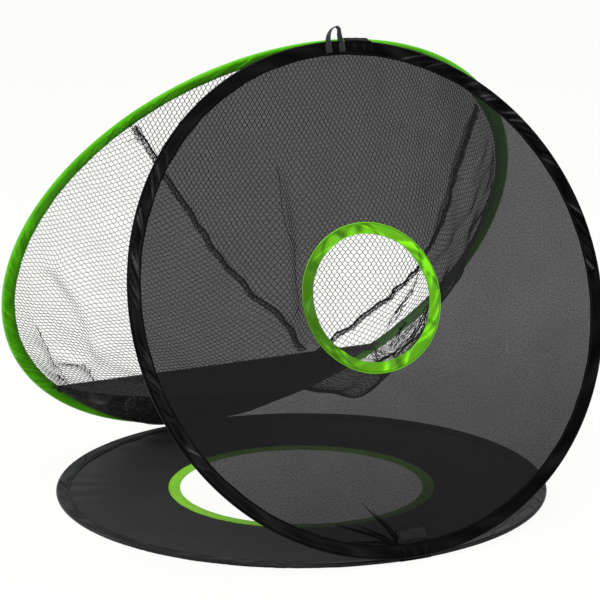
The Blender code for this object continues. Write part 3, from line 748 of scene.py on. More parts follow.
def fold_net(shape):
    """Gathers the net into its folds and pockets, with small waves all over."""
    normal = net_normals(shape)
    moved = np.zeros_like(shape)
    for line, width, pull, lift in FOLDS:
        offset, near, share = along_fold(shape, line)
        fade = smoothstep(share, -0.02, 0.25) * (1 - smoothstep(share, 0.75, 1.02))
        reach = near / (width * MM)
        gather = pull * MM * 1.65 * np.exp(-(reach**2) / 2) * fade / (width * MM)
        moved -= offset * gather[..., None]
        moved += normal * (lift * MM * np.exp(-(reach**2)) * fade)[..., None]
    for middle, reach, drop in POCKETS:
        near = np.linalg.norm(shape - np.array(middle) * MM, axis=-1) / (reach * MM)
        moved += (drop * MM * np.exp(-(near**2)))[..., None] * DOWN
    rng = np.random.default_rng(12)
    wild = 0.45 + 0.7 * smoothstep(shape[..., 0], 120 * MM, 260 * MM) * (shape[..., 1] < 150 * MM)
    wild += 0.3 * smoothstep(-shape[..., 0], 180 * MM, 300 * MM) * smoothstep(-shape[..., 1], 0, 120 * MM)
    for _ in range(26):
        turn = rng.uniform(0, TURN)
        size = rng.uniform(0.022, 0.075)
        across = (shape[..., 0] * math.cos(turn) + shape[..., 1] * math.sin(turn)) / size
        wave = np.sin(across * TURN + rng.uniform(0, TURN) + 2 * shape[..., 2] / size) * size / 0.05
        moved += normal * (0.34 * MM * wave * wild)[..., None]
        moved += np.cross(normal, rng.normal(size=3)) * (0.3 * MM * wave * wild)[..., None]
    run = np.linalg.norm(shape - shape[0], axis=-1)
    hold = smoothstep(run, 8 * MM, 34 * MM) * smoothstep(np.arange(BAG_ROWS)[::-1], 0, 14)[:, None]
    placed = shape + moved * hold[..., None]
    placed[..., 2] = np.where(run > 12 * MM, np.maximum(placed[..., 2], 1.5 * MM), placed[..., 2])
    return placed


NET_CUT, NET_LENGTHS = hanging_net()
NET_HUNG = fold_net(NET_CUT)
NET_NORMALS = net_normals(NET_HUNG)
EDGE_ANGLE = np.degrees(net_edge(rear.radius - PANEL_TUCK, FLAP_TOP)[0])
right_seam, left_seam = (int(np.argmin(np.abs(EDGE_ANGLE - turn))) for turn in SEAM_ANGLES)


# Where down the bag, as a share, the columns' distance apart sets the width of the flat cut.
GAUGE = 0.4


class Panel:
    """One panel of netting: its flat cut and where each place of that hangs."""

    def __init__(self, first, last):
        count = (last - first) % BAG_COLUMNS
        self.columns = (first + np.arange(count + 1)) % BAG_COLUMNS
        self.hung = NET_HUNG[:, self.columns]
        self.normal = NET_NORMALS[:, self.columns]
        self.length = NET_LENGTHS[self.columns]
        gaps = np.linalg.norm(np.diff(NET_CUT[int(BAG_ROWS * GAUGE), self.columns], axis=0), axis=-1)
        reach = (self.length[:-1] + self.length[1:]) / 2 * (1 - GAUGE)
        self.turn = np.concatenate([[0], np.cumsum(gaps / reach)])
        self.turn -= self.turn[-1] / 2

    def flat_size(self):
        """The width and length that the panel is cut from, and its area."""
        x = np.sin(self.turn) * self.length
        y = np.cos(self.turn) * self.length
        area = 0.5 * np.sum(self.length[:-1] * self.length[1:] * np.sin(np.diff(self.turn)))
        return (np.ptp(x), max(y.max(), 0) - min(y.min(), 0)), area

    def place(self, x, y, margin=1e-9):
        """Hung points and normals for flat places, and which of those are on the panel."""
        turn = np.arctan2(x, y)
        reach = np.hypot(x, y)
        column = np.interp(turn, self.turn, np.arange(len(self.turn)))
        length = np.interp(column, np.arange(len(self.length)), self.length)
        share = reach / length
        on = (turn >= self.turn[0] - margin) & (turn <= self.turn[-1] + margin)
        on &= (share <= 1) & (share > TIP_SHARE)
        row = np.clip(1 - share, 0, 1) * (BAG_ROWS - 1)
        return self.sample(self.hung, row, column), self.sample(self.normal, row, column), on

    @staticmethod
    def sample(grid, row, column):
        r = np.clip(row.astype(int), 0, grid.shape[0] - 2)
        c = np.clip(column.astype(int), 0, grid.shape[1] - 2)
        u, v = (row - r)[:, None], (column - c)[:, None]
        top = grid[r, c] * (1 - v) + grid[r, c + 1] * v
        low = grid[r + 1, c] * (1 - v) + grid[r + 1, c + 1] * v
        return top * (1 - u) + low * u


def prisms(name, starts, ends, normals, size, material):
    """Thin three-sided threads from starts to ends, open at their ends."""
    along = ends - starts
    along /= np.maximum(np.linalg.norm(along, axis=1, keepdims=True), 1e-12)
    side = np.cross(normals, along)
    side /= np.maximum(np.linalg.norm(side, axis=1, keepdims=True), 1e-12)
    up = np.cross(along, side)
    size = np.broadcast_to(size, len(starts))[:, None]
    corners = []
    for point, shift in ((starts, -1), (ends, 1)):
        for k in range(3):
            turn = math.pi / 2 + k * TURN / 3
            corners.append(point + along * shift * size * 0.5
                           + (side * math.cos(turn) + up * math.sin(turn)) * size)
    points = np.stack(corners, axis=1).reshape(-1, 3)
    faces = np.array([(0, 1, 4, 3), (1, 2, 5, 4), (2, 0, 3, 5)])
    every = (faces[None] + 6 * np.arange(len(starts))[:, None, None]).reshape(-1, 4)
    return plain_mesh(name, points, every, material)


def to_world(local):
    """World places for places on the rear hoop."""
    return rear.at(local[:, 0], local[:, 1], local[:, 2])


def turn_only(local):
    """World directions for directions on the rear hoop."""
    return local[:, :1] * rear.ex + local[:, 1:2] * rear.ey + local[:, 2:] * rear.en


# Half the length of a cell's straight side, as a share of half the cell's width.
PILLAR = 0.15


def netting(panel, name, lean, cell, thread, seed, keep=None):
    """The six-sided cells of one panel's net, its rows turned by lean from the flat cut's width."""
    wide, tall = cell[0] / 2, cell[1] / 2
    reach = panel.length.max() * 1.05
    i = np.arange(-int(reach / wide), int(reach / wide) + 1)
    j = np.arange(-int(reach / tall), int(reach / tall) + 1)
    cosine, sine = math.cos(lean), math.sin(lean)
    i, j = (v.ravel() for v in np.meshgrid(i, j))
    even = (i + j) % 2 == 0
    i, j = i[even], j[even]
    noise = np.random.default_rng(seed).normal(0, 0.05, (4001, 2))

    def knot(i, j, shift):
        wobble = noise[(i * 37 + j * 101) % len(noise)]
        sway = 0.35 * np.sin(i * 0.11 + j * 0.045) + 0.3 * np.sin(j * 0.083 - i * 0.031)
        x, y = (i + wobble[:, 0] + sway + shift) * wide, (j + wobble[:, 1]) * tall
        return x * cosine - y * sine, x * sine + y * cosine

    pillar = knot(i, j, -PILLAR), knot(i, j, PILLAR), 1.35
    links = [pillar] + [(knot(i, j, PILLAR), knot(i + 1, j + step, -PILLAR), 1.0) for step in (-1, 1)]
    starts, ends, normals, sizes = [], [], [], []
    for a, b, size in links:
        here, normal, on = panel.place(*a)
        there, _, on_end = panel.place(*b)
        wanted = np.ones_like(on) if keep is None else keep(a[0])
        both = on & on_end & wanted
        starts.append(here[both])
        ends.append(there[both])
        normals.append(normal[both])
        for (x, y), (far_x, far_y), cut in ((a, b, on & ~on_end), (b, a, on_end & ~on)):
            cut = cut & wanted
            ax, ay, bx, by = x[cut], y[cut], far_x[cut], far_y[cut]
            low, high = np.zeros(len(ax)), np.ones(len(ax))
            for _ in range(12):
                half = (low + high) / 2
                good = panel.place(ax + (bx - ax) * half, ay + (by - ay) * half)[2]
                low, high = np.where(good, half, low), np.where(good, high, half)
            foot, lift, _ = panel.place(ax, ay)
            starts.append(foot)
            ends.append(panel.place(ax + (bx - ax) * low, ay + (by - ay) * low)[0])
            normals.append(lift)
        sizes.append(np.full(sum(len(v) for v in starts) - sum(len(v) for v in sizes), size))
    starts, ends, normals, sizes = (np.concatenate(v) for v in (starts, ends, normals, sizes))
    long = np.linalg.norm(ends - starts, axis=1) > 0.3 * MM
    starts, ends, normals, sizes = starts[long], ends[long], normals[long], sizes[long]
    return prisms(name, to_world(starts), to_world(ends),
                  turn_only(normals), thread * sizes, NETTING)


def threads(name, paths, material, sides=5):
    """Round threads along paths, each given as points and a radius or one radius a point."""
    every_point, every_face = [], []
    count = 0
    for path, radius in paths:
        path = np.asarray(path, float)
        along = np.gradient(path, axis=0)
        along /= np.maximum(np.linalg.norm(along, axis=1, keepdims=True), 1e-12)
        hint = np.where(np.abs(along[:, :1]) < 0.8, (1.0, 0, 0), (0, 1.0, 0))
        side = np.cross(along, hint)
        side /= np.linalg.norm(side, axis=1, keepdims=True)
        up = np.cross(along, side)
        turn = np.arange(sides) / sides * TURN
        radius = np.broadcast_to(radius, len(path))[:, None, None]
        ring = side[:, None] * np.cos(turn)[:, None] + up[:, None] * np.sin(turn)[:, None]
        every_point.append((path[:, None] + ring * radius).reshape(-1, 3))
        index = count + np.arange(len(path) * sides).reshape(len(path), sides)
        nxt = np.roll(index, -1, axis=1)
        quads = np.stack([index[:-1], nxt[:-1], nxt[1:], index[1:]], axis=-1)
        every_face += quads.reshape(-1, 4).tolist()
        every_face += [index[0][::-1].tolist(), index[-1].tolist()]
        count += len(path) * sides
    return plain_mesh(name, np.concatenate(every_point), every_face, material)


def smooth_path(points, count):
    """An even run of points along a soft curve through these points."""
    points = np.asarray(points, float)
    spans = np.concatenate([[0], np.cumsum(np.linalg.norm(np.diff(points, axis=0), axis=1))])
    slopes = np.gradient(points, spans, axis=0)
    at = np.linspace(0, spans[-1], count)
    k = np.clip(np.searchsorted(spans, at, side="right") - 1, 0, len(spans) - 2)
    width = (spans[k + 1] - spans[k])[:, None]
    t = (at[:, None] - spans[k][:, None]) / width
    return ((1 + 2 * t) * (1 - t) ** 2 * points[k] + t * (1 - t) ** 2 * width * slopes[k]
            + t**2 * (3 - 2 * t) * points[k + 1] + t**2 * (t - 1) * width * slopes[k + 1])


def seam_line(column, upward):
    """A seam's points from the sleeve to the tip: places, lengths, normals and ways up across it."""
    rows = np.linspace(4, BAG_ROWS - 3, 700)
    r = rows.astype(int)
    t = (rows - r)[:, None]
    line = NET_HUNG[r, column] * (1 - t) + NET_HUNG[r + 1, column] * t
    normal = NET_NORMALS[r, column]
    along = np.gradient(line, axis=0)
    run = np.cumsum(np.linalg.norm(along, axis=1))
    along /= np.linalg.norm(along, axis=1, keepdims=True)
    return line, run, normal, np.cross(normal, along) * upward


PLEAT_LEAN = 7 * MM


def pleat(name, column, upward):
    """Slack netting that lies doubled below a seam: crossed threads between the sleeve and mid-bag."""
    line, run, normal, across = seam_line(column, upward)
    paths = []
    for lean in (-PLEAT_LEAN, PLEAT_LEAN):
        for at in np.arange(0.012, run[-1] * 0.5, 1.7 * MM):
            wide = np.interp(at / run[-1], (0, 0.1, 0.38, 0.5), (5 * MM, 17 * MM, 18 * MM, 2 * MM))
            ends = np.interp([at - lean / 2, at + lean / 2], run, np.arange(len(run))).astype(int)
            steps = [line[k] + across[k] * (2 * MM - wide * share) + normal[k] * 0.8 * MM
                     for k, share in zip(np.linspace(*ends, 4).astype(int), (0, 0.36, 0.7, 1))]
            paths.append((to_world(np.array(steps)), 0.27 * MM))
    return threads(name, paths, THREAD)


# The seam's cord: how far it lies below the seam, and its two plies.
CORD_BELOW = 2.2 * MM
PLY_OFF = 0.7 * MM
PLY_RADIUS = 0.72 * MM


def seam(name, column, upward, seed):
    """The sewn seam between two panels: a twisted cord, with loose zigzag stitches above it."""
    rng = np.random.default_rng(seed)
    line, run, normal, across = seam_line(column, upward)
    wave = sum(rng.uniform(0.4, 1.0) * np.sin(run / rng.uniform(0.003, 0.012) + rng.uniform(0, TURN))
               for _ in range(5)) * MM
    cord = line + across * (wave - CORD_BELOW)[:, None]
    paths = []
    for ply in (0, math.pi):
        twist = run / (1.9 * MM) + ply
        twisted = across * np.cos(twist)[:, None] + normal * np.sin(twist)[:, None]
        paths.append((cord + twisted * PLY_OFF, PLY_RADIUS))
    zigzag = 3.4 * MM + wave * 0.7 + 1.5 * MM * np.sin(run / (1.25 * MM)) * np.sin(run / 0.009)
    loose = line + across * zigzag[:, None] + normal * (0.6 * MM * np.sin(run / 0.0021))[:, None]
    step = 0
    while step < len(line) - 12:
        size = int(rng.integers(10, 46))
        paths.append((loose[step:step + size], 0.62 * MM))
        step += size + int(rng.integers(0, 4))
    for k in range(6, len(line) - 6, 5):
        if rng.random() < 0.8:
            ends = cord[k], loose[min(k + int(rng.integers(-4, 7)), len(line) - 1)]
            middle = (ends[0] + ends[1]) / 2 + normal[k] * 0.8 * MM
            paths.append((np.array([ends[0], middle, ends[1]]), 0.42 * MM))
    spread = 1 + 0.8 * np.clip(1 - run / run[-1] / 0.5, 0, 1) * (upward > 0)
    for lean in (-3.0 * MM, 3.0 * MM):
        for at in np.arange(0.004, run[-1] - 0.004, 1.9 * MM):
            wide = np.interp(at, run, spread) * 3.4 * MM
            low, high = np.interp([at - lean / 2, at + lean / 2], run, np.arange(len(run))).astype(int)
            path = np.array([line[low] - across[low] * wide, line[high] + across[high] * wide])
            paths.append((path + normal[low] * 0.4 * MM, 0.24 * MM))
    for row in range(5):
        shift = (row * 1.7 - 3.0) * MM * spread + wave * rng.uniform(0.4, 1)
        swing = 0.95 * MM * np.sin(run / (1.05 * MM) + row * 2.1)
        paths.append((line + across * (shift + swing)[:, None] + normal * 0.5 * MM, 0.24 * MM))
    for _ in range(9):
        root = line[int(rng.integers(2, 30))]
        reach = rng.normal(0, 5 * MM, (3, 3)) + np.arange(1, 4)[:, None] * across[5] * 2 * MM
        reach[:, 2] = np.abs(reach[:, 2])
        paths.append((smooth_path([root, *(root + reach)], 14), 0.3 * MM))
    paths = [(to_world(path), radius) for path, radius in paths]
    return threads(name, paths, THREAD)


upper = Panel(right_seam, left_seam)
lower = Panel(left_seam, right_seam)
UPPER_LEAN = math.radians(90 - 7)
LOWER_LEAN = math.radians(-10)
net = netting(upper, "net_upper", UPPER_LEAN, (10 * MM, 6.5 * MM), 0.44 * MM, 1)
finish_piece(net, "rear", "netting", "net_upper_panel")
LOWER_CELL = (9.9 * MM, 6.9 * MM)
LOWER_THREAD = 0.375 * MM
net_left = netting(lower, "net_lower_left", LOWER_LEAN, LOWER_CELL, LOWER_THREAD, 2, lambda x: x < 0)
finish_piece(net_left, "rear", "netting", "net_lower_panel")
net_right = netting(lower, "net_lower_right", LOWER_LEAN, LOWER_CELL, LOWER_THREAD, 2, lambda x: x >= 0)
finish_piece(net_right, "rear", "netting")
seam_right = seam("net_seam_right_stitches", right_seam, 1, 21)
finish_piece(seam_right, "rear", "seam_tape", "net_seam_right")
net_pleat = pleat("net_pleat_threads", right_seam, 1)
finish_piece(net_pleat, "rear", "netting")
seam_left = seam("net_seam_left_stitches", left_seam, -1, 22)
finish_piece(seam_left, "rear", "seam_tape", "net_seam_left")

# Pulled and tangled threads of the net: places in mm on the rear hoop, then how thick a bundle.
PULLED = (
    (((-60, 214, 70), (-49, 175, 94), (-42, 146, 110), (-36, 111, 130), (-31, 68, 151), (-28, 37, 166)), 0.3),
    (((-301, -89, 19), (-273, -145, 25), (-248, -188, 24), (-230, -217, 20)), 0.35),
    (((-240, -134, 55), (-228, -150, 56), (-216, -176, 55)), 0.5),
    (((-252, -196, 24), (-240, -212, 20), (-222, -226, 16)), 0.6),
    (((150, 67, 150), (141, 48, 160), (131, 40, 166), (119, 25, 174), (113, 5, 178)), 1.6),
    (((143, -4, 168), (136, -17, 172), (133, -30, 174), (130, -43, 174)), 0.9),
    (((200, 10, 136), (178, -25, 152), (168, -48, 157), (151, -54, 165), (131, -57, 173),
      (115, -64, 178)), 2.2),
    (((190, 12, 142), (170, -14, 155), (152, -30, 166), (136, -48, 172)), 0.7),
    (((97, -27, 184), (107, -48, 181), (116, -67, 177)), 1.2),
    (((100, -34, 184), (118, -50, 178), (112, -62, 179), (126, -58, 174)), 0.9),
    (((104, -62, 181), (122, -66, 176), (140, -62, 170), (128, -50, 175)), 1.0),
)


def pulled_threads(seed):
    rng = np.random.default_rng(seed)
    paths = []
    for line, thick in PULLED:
        base_path = smooth_path(np.array(line) * MM, 60)
        for strand in range(1 + int(2.6 * thick)):
            spread = 0.2 + 0.22 * thick
            wave = np.cumsum(rng.normal(0, spread * MM, (60, 3)), axis=0)
            wave -= np.linspace(0, 1, 60)[:, None] * wave[-1]
            path = base_path + rng.normal(0, 0.5 * thick * MM, 3)
            near = ((path[:, None, None] - NET_HUNG[None]) ** 2).sum(-1).reshape(60, -1).argmin(1)
            row, column = np.divmod(near, BAG_COLUMNS)
            path = NET_HUNG[row, column] + NET_NORMALS[row, column] * 0.6 * MM + wave
            for _ in range(3):
                path[1:-1] = (path[:-2] + 2 * path[1:-1] + path[2:]) / 4
            first, last = (0, 60) if strand == 0 else sorted(rng.integers(0, 60, 2) + (0, 2))
            if last - first > 4:
                paths.append((path[first:last], (0.4 + 0.15 * thick) * MM))
        for k in range(0, 58, 3):
            curl = path[k] + np.cumsum(rng.normal(0, 1.5 * MM, (4, 3)), axis=0)
            if rng.random() < 0.4 * thick:
                paths.append((smooth_path([path[k], *curl], 10), 0.34 * MM))
    return threads("net_pulled_threads", [(to_world(p), size) for p, size in paths], THREAD)


tangles = pulled_threads(31)
finish_piece(tangles, "rear", "netting")


# Flap, hem, tapes, patch and loop ---------------------------------------------------------


def cloth_strip(name, points, material, thickness):
    """A strip of cloth from rows of world points, given its thickness; its UVs are in metres."""
    down = np.linalg.norm(np.diff(points, axis=0), axis=-1).mean(1)
    along = np.linalg.norm(np.diff(points, axis=1), axis=-1).mean(0)
    v = np.concatenate([[0], np.cumsum(down)])
    u = np.concatenate([[0], np.cumsum(along)])
    made = grid_mesh(name, points, material, uv=lambda row, column: np.stack([u[column], v[row]], axis=-1))
    thick = made.modifiers.new("cloth", "SOLIDIFY")
    thick.thickness, thick.offset = thickness, 0
    return made


def stitches(name, path, material, pitch, radius):
    """Short thread stitches along a world path."""
    path = np.asarray(path, float)
    length = np.linalg.norm(np.diff(path, axis=0), axis=1).sum()
    count = int(length / pitch)
    fine = smooth_path(path, count * 6 + 1)
    return threads(name, [(fine[k * 6:k * 6 + 5], radius) for k in range(count)], material, sides=4)


FLAP_END = math.asin(FLAP_TOP / (rear.radius - PANEL_TUCK))


def flap_points(columns=220, rows=44):
    """The flap, from its straight top edge down over the inside of the rear sleeve."""
    share = np.linspace(0, 1, columns)[None, :]
    angle = -math.pi - FLAP_END + (math.pi + 2 * FLAP_END) * share
    turn = np.abs(angle + math.pi / 2)
    reach = math.pi / 2 + FLAP_END
    cover = 1 - np.clip((turn - math.radians(12)) / (reach - math.radians(14)), 0, 1) ** 0.8
    low = rear.radius - SLEEVE_WIDTH + 1 * MM + (SLEEVE_WIDTH - 0.4 * MM) * cover
    half = (rear.radius - PANEL_TUCK) * math.cos(FLAP_END)
    top_x, top_y = -half + 2 * half * share, np.full_like(share, FLAP_TOP)
    down = np.linspace(0, 1, rows)[:, None]
    x = top_x + (low * np.cos(angle) - top_x) * down
    y = top_y + (low * np.sin(angle) - top_y) * down
    r = np.hypot(x, y)
    rng = np.random.default_rng(17)
    n = np.zeros_like(x)
    for _ in range(22):
        lean = rng.normal(0, 0.5)
        size = rng.uniform(0.012, 0.05)
        n = n + size * 0.035 * np.sin((x + lean * (y - FLAP_TOP)) / size * 2 + rng.uniform(0, TURN))
    calm = smoothstep(down, 0, 0.15) * smoothstep(1 - np.abs(x) / half, 0, 0.2)
    over = smoothstep(r, rear.radius - SLEEVE_WIDTH - 16 * MM, rear.radius - SLEEVE_WIDTH - 1 * MM)
    tube = smoothstep(r, rear.radius - 11 * MM, rear.radius - 5 * MM)
    n = 1.1 * MM + n * 0.6 * calm * (1 - over) + 1.5 * MM * over + 1.6 * MM * tube
    return rear.at(x, y, n + 0.25 * MM * np.sin(x / 0.0031 + 9 * down) * over)


flap = cloth_strip("rear_flap_mesh", flap_points(), FLAP_MESH, 0.4 * MM)
finish_piece(flap, "rear", "flap_cloth", "rear_flap")


def hem_points():
    """The ribbed tape sewn over the flap's top edge, once round its flat section."""
    half = (rear.radius - PANEL_TUCK) * math.cos(FLAP_END) - 8 * MM
    x = np.linspace(-half, half, 1000)[:, None]
    turn = np.arange(14)[None, :] / 14 * TURN
    squared = np.sign(np.cos(turn)) * np.abs(np.cos(turn)) ** 0.6
    rib = 0.16 * MM * np.abs(np.sin(x / (1.1 * MM) + squared * 1.5))
    sag = 0.9 * MM * np.sin(x / 0.031 + 0.5) + 0.6 * MM * np.sin(x / 0.011)
    y = FLAP_TOP - 5.5 * MM + 6.6 * MM * squared + 0.6 * sag
    n = 1.3 * MM + (0.9 * MM + rib) * np.sin(turn) + 0.5 * sag
    return rear.at(x, y, n)


hem = grid_mesh("rear_flap_hem_ribbed", hem_points(), HEM_WEBBING, wrap_v=True,
                uv=lambda row, column: np.stack([row * 0.45 * MM, column * 1.9 * MM], axis=-1))
finish_piece(hem, "rear", "flap_cloth", "rear_flap_hem")


def rim_height(hoop, x):
    return np.sqrt(hoop.radius**2 - x**2)


def across_top(x, lift):
    """Places of the top hinge tape at x, from the front panel's side over to the rear's."""
    places = [(-13 * MM, 3.2 * MM + lift), (-6 * MM, 3.7 * MM + lift), (0.2 * MM, 2.2 * MM + lift),
              (1.0 * MM + lift, 0)]
    points = [front.at(x, rim_height(front, x) + y, n) for y, n in places]
    points += [rear.at(x, rim_height(rear, x) + y, -n) for y, n in reversed(places)]
    return smooth_path(points, 40)


low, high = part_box("top_hinge_tape_front")
strip = np.stack([across_top(x, 0.35 * MM * math.sin(x / 0.004) ** 2)
                  for x in np.linspace(low[0], high[0], 24)], axis=1)
tape = cloth_strip("top_hinge_tape_cloth", strip, BLACK_SATIN, 0.7 * MM)
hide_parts("top_hinge_tape_front", "top_hinge_tape_rear")
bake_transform(tape)


def across_fold(x, lift):
    """Places of the front hinge tape at x, from the base's rim round to the front panel."""
    edge, rim = rim_height(base, x), rim_height(front, x)
    points = [base.at(x, 1 * MM - edge, -2.5 * MM), base.at(x, -edge - 0.7 * MM - lift, -1.6 * MM),
              base.at(x, -edge - 1.3 * MM - lift, 0.4 * MM)]
    points += [front.at(x, 1.5 * MM - rim, 3.1 * MM + lift), front.at(x, 7 * MM - rim, 3.6 * MM + lift),
               front.at(x, 13 * MM - rim, 3.0 * MM + lift)]
    return smooth_path(points, 32)


low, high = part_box("front_hinge_tape_base")
strip = np.stack([across_fold(x, 0.3 * MM * math.sin(x / 0.005) ** 2)
                  for x in np.linspace(low[0], high[0], 26)], axis=1)
tape = cloth_strip("front_hinge_tape_cloth", strip, BLACK_SATIN, 0.6 * MM)
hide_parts("front_hinge_tape_base", "front_hinge_tape_front")
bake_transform(tape)


def loop_strap():
    """The carrying loop: one strap that leans to the right, its flat side turned outwards."""
    path = np.array([(-1.5, -15, 4.0), (-1.2, -7, 4.4), (0.5, 0.5, 3.0), (3.5, 8, 1.5), (8.0, 14, 0.5),
                     (13.0, 17.0, 0.0), (17.5, 17.6, -0.4), (19.4, 15.0, -0.3), (18.6, 8, 0.6),
                     (17.6, 0.5, 2.4), (17.2, -7, 4.0), (17.0, -15, 3.9)]) * MM
    path[:, 1] += front.radius
    path = smooth_path(path, 90)
    t = np.linspace(0, 1, 90)
    flat = np.clip(1.7 * np.abs(t - 0.5) * 2 - 0.25, 0, 1)
    outward = np.sqrt(np.maximum(1 - (0.8 * flat) ** 2, 0.1))
    wide = np.stack([0.80 * flat, 0.05 * np.sin(9 * t), outward], axis=1)
    wide /= np.linalg.norm(wide, axis=1, keepdims=True)
    across = np.linspace(-1, 1, 9)[None, :, None]
    curl = 0.5 * MM * (across**2) * np.sin(5 * t + 1)[:, None, None]
    along = np.gradient(path, axis=0)
    along /= np.linalg.norm(along, axis=1, keepdims=True)
    side = np.cross(wide, along)[:, None]
    local = path[:, None] + wide[:, None] * across * 3.6 * MM + side * curl
    return front.at(local[..., 0], local[..., 1], local[..., 2])


strap = cloth_strip("carry_loop_strap", loop_strap(), WEBBING, 1.3 * MM)
finish_piece(strap, "front", "black_webbing", "carry_loop")

PATCH_HALF = (21 * MM, 9 * MM)
low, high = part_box("front_patch")
PATCH_X = (low[0] + high[0]) / 2
PATCH_Y = -math.hypot((low[1] + high[1]) / 2 - front.centre[1], (low[2] + high[2]) / 2 - front.centre[2])


def patch_points():
    """The oblong of webbing at the foot of the front panel, its edges pulled in by the stitches."""
    x = np.linspace(-1, 1, 40)[None, :]
    y = np.linspace(-1, 1, 20)[:, None]
    edge = np.maximum(np.abs(x), np.abs(y))
    puff = 0.7 * MM * (1 - edge**4) + 0.35 * MM * np.sin(4 * x + 2 * y)
    puff = puff - 0.5 * MM * np.exp(-(((edge - 0.88) / 0.05) ** 2))
    return front.at(PATCH_X + PATCH_HALF[0] * x * (1 + 0.02 * np.sin(7 * y)),
                    PATCH_Y + PATCH_HALF[1] * y * (1 + 0.05 * np.sin(5 * x)), 1.3 * MM + puff)


patch = cloth_strip("front_patch_cloth", patch_points(), HEM_WEBBING, 0.8 * MM)
finish_piece(patch, "front", "black_webbing", "front_patch")
corners = [(-0.9, -0.8), (0.9, -0.8), (0.9, 0.8), (-0.9, 0.8), (-0.9, -0.8)]
outline = np.concatenate([np.linspace(a, b, 8)[:-1] for a, b in zip(corners, corners[1:])])
path = front.at(PATCH_X + PATCH_HALF[0] * outline[:, 0], PATCH_Y + PATCH_HALF[1] * outline[:, 1], 2.5 * MM)
finish_piece(stitches("front_patch_stitches", path, THREAD, 2.6 * MM, 0.75 * MM), "front", "black_webbing")


def crease(name, start, end, wide, lift):
    """A pleat of the panel that runs out from the patch and narrows to nothing."""
    t = np.linspace(0, 1, 50)[:, None]
    across = np.linspace(-1, 1, 7)[None, :]
    line = np.array(start) + (np.array(end) - np.array(start)) * t
    line = line + np.array([0.0012, 0.0009]) * np.sin(5 * t)
    away = np.array(end) - np.array(start)
    away = np.array([-away[1], away[0]]) / np.linalg.norm(away)
    width = wide * (1 - t**1.5) + 0.15 * MM
    x = line[:, :1] + away[0] * across * width
    y = line[:, 1:] + away[1] * across * width
    n = 0.7 * MM + lift * (1 - t) * (1 - across**2) + 0.25 * MM * np.sin(22 * t)
    return cloth_strip(name, front.at(x, y, n), BLACK_SATIN, 0.3 * MM)


corner_x, corner_y = PATCH_X - PATCH_HALF[0], PATCH_Y - PATCH_HALF[1]
for name, end, wide in (("front_panel_pleat_long", (corner_x - 0.0385, corner_y + 0.057), 1.5 * MM),
                        ("front_panel_pleat_short", (corner_x - 0.0265, corner_y + 0.046), 0.9 * MM)):
    start = (corner_x - (0.001 if "long" in name else -0.003), corner_y + 0.001)
    finish_piece(crease(name, start, end, wide, 1.1 * MM), "front", "sheer_mesh")
for k, (run_x, run_y, wide) in enumerate(((-0.078, 0.036, 2.4 * MM), (-0.062, 0.012, 1.8 * MM),
                                          (-0.05, 0.0315, 1.2 * MM))):
    start = (corner_x - 0.003, corner_y - 0.001)
    end = (corner_x + run_x, corner_y + run_y)
    finish_piece(crease(f"front_panel_fold_{k}", start, end, wide, 1.4 * MM), "front", "sheer_mesh")


def closure_points(y_from, y_to, hoop, side, columns=18, rows=16, half=15 * MM):
    """A short tape laid on a sleeve between two distances in from the hoop's edge."""
    x = np.linspace(-half, half, columns)[None, :]
    inward = np.linspace(y_from, y_to, rows)[:, None]
    y = -(rim_height(hoop, x) - inward)
    rise = 3.4 * MM - 1.6 * MM * smoothstep(inward, 5 * MM, 20 * MM)
    return hoop.at(x, y, side * (rise + 0.25 * MM * np.sin(x / 0.003) * np.sin(inward / 0.004)))


CLOSURE_THICKNESS = 0.7 * MM
anchor_points = closure_points(0.5 * MM, 24 * MM, rear, -1)
anchor = cloth_strip("rear_closure_anchor_tape", anchor_points, WEBBING, CLOSURE_THICKNESS)
finish_piece(anchor, "rear", "black_webbing", "rear_closure_anchor")
low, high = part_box("rear_closure_tab")
x = np.linspace(low[0], high[0], 20)[None, :]
z = np.linspace(low[2], high[2], 14)[:, None]
bow = 0.25 * MM * np.sin(x / 0.004 + z / 0.003)
tab_points = np.stack([x + 0 * z, high[1] + 0.1 * MM + bow, z + 0 * x], axis=-1)
tab = cloth_strip("rear_closure_tab_tape", tab_points, WEBBING, CLOSURE_THICKNESS)
finish_piece(tab, "closure", "black_webbing", "rear_closure_tab")
low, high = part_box("rear_hook_patch")
x = np.linspace(low[0], high[0], 22)[None, :]
turn = np.linspace(-1.15, 0.95, 14)[:, None]
edge = rim_height(base, x) + 0.6 * MM
fuzz = 0.15 * MM * np.sin(x / 0.0011) * np.sin(turn * 9)
hooks = cloth_strip(
    "rear_hook_patch_tape",
    base.at(x, edge - 3.0 * MM + (3.4 * MM + fuzz) * np.cos(turn), 2.9 * MM * np.sin(turn)),
    WEBBING, 0.5 * MM)
finish_piece(hooks, "base", "black_webbing", "rear_hook_patch")


# Cut sizes and own meshes -----------------------------------------------------------------


def grid_area(points):
    """The area in square metres of a grid of places."""
    p = np.asarray(points)
    first = np.cross(p[1:, :-1] - p[:-1, :-1], p[:-1, 1:] - p[:-1, :-1])
    second = np.cross(p[1:, :-1] - p[1:, 1:], p[:-1, 1:] - p[1:, 1:])
    return float((np.linalg.norm(first, axis=-1) + np.linalg.norm(second, axis=-1)).sum() / 2)


(wide, tall), area = upper.flat_size()
(wide, tall), area = lower.flat_size()
grid_area(flap_points())

for piece in (net, net_left, net_right, seam_right, seam_left, net_pleat, tangles):
    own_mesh(piece)
front.at(0, front.radius + 1 * MM, 0).ravel()
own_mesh(strap)


# Stage, lights and camera -----------------------------------------------------------------


STUDIO_WHITE = (1.0, 1.0, 0.985, 1)


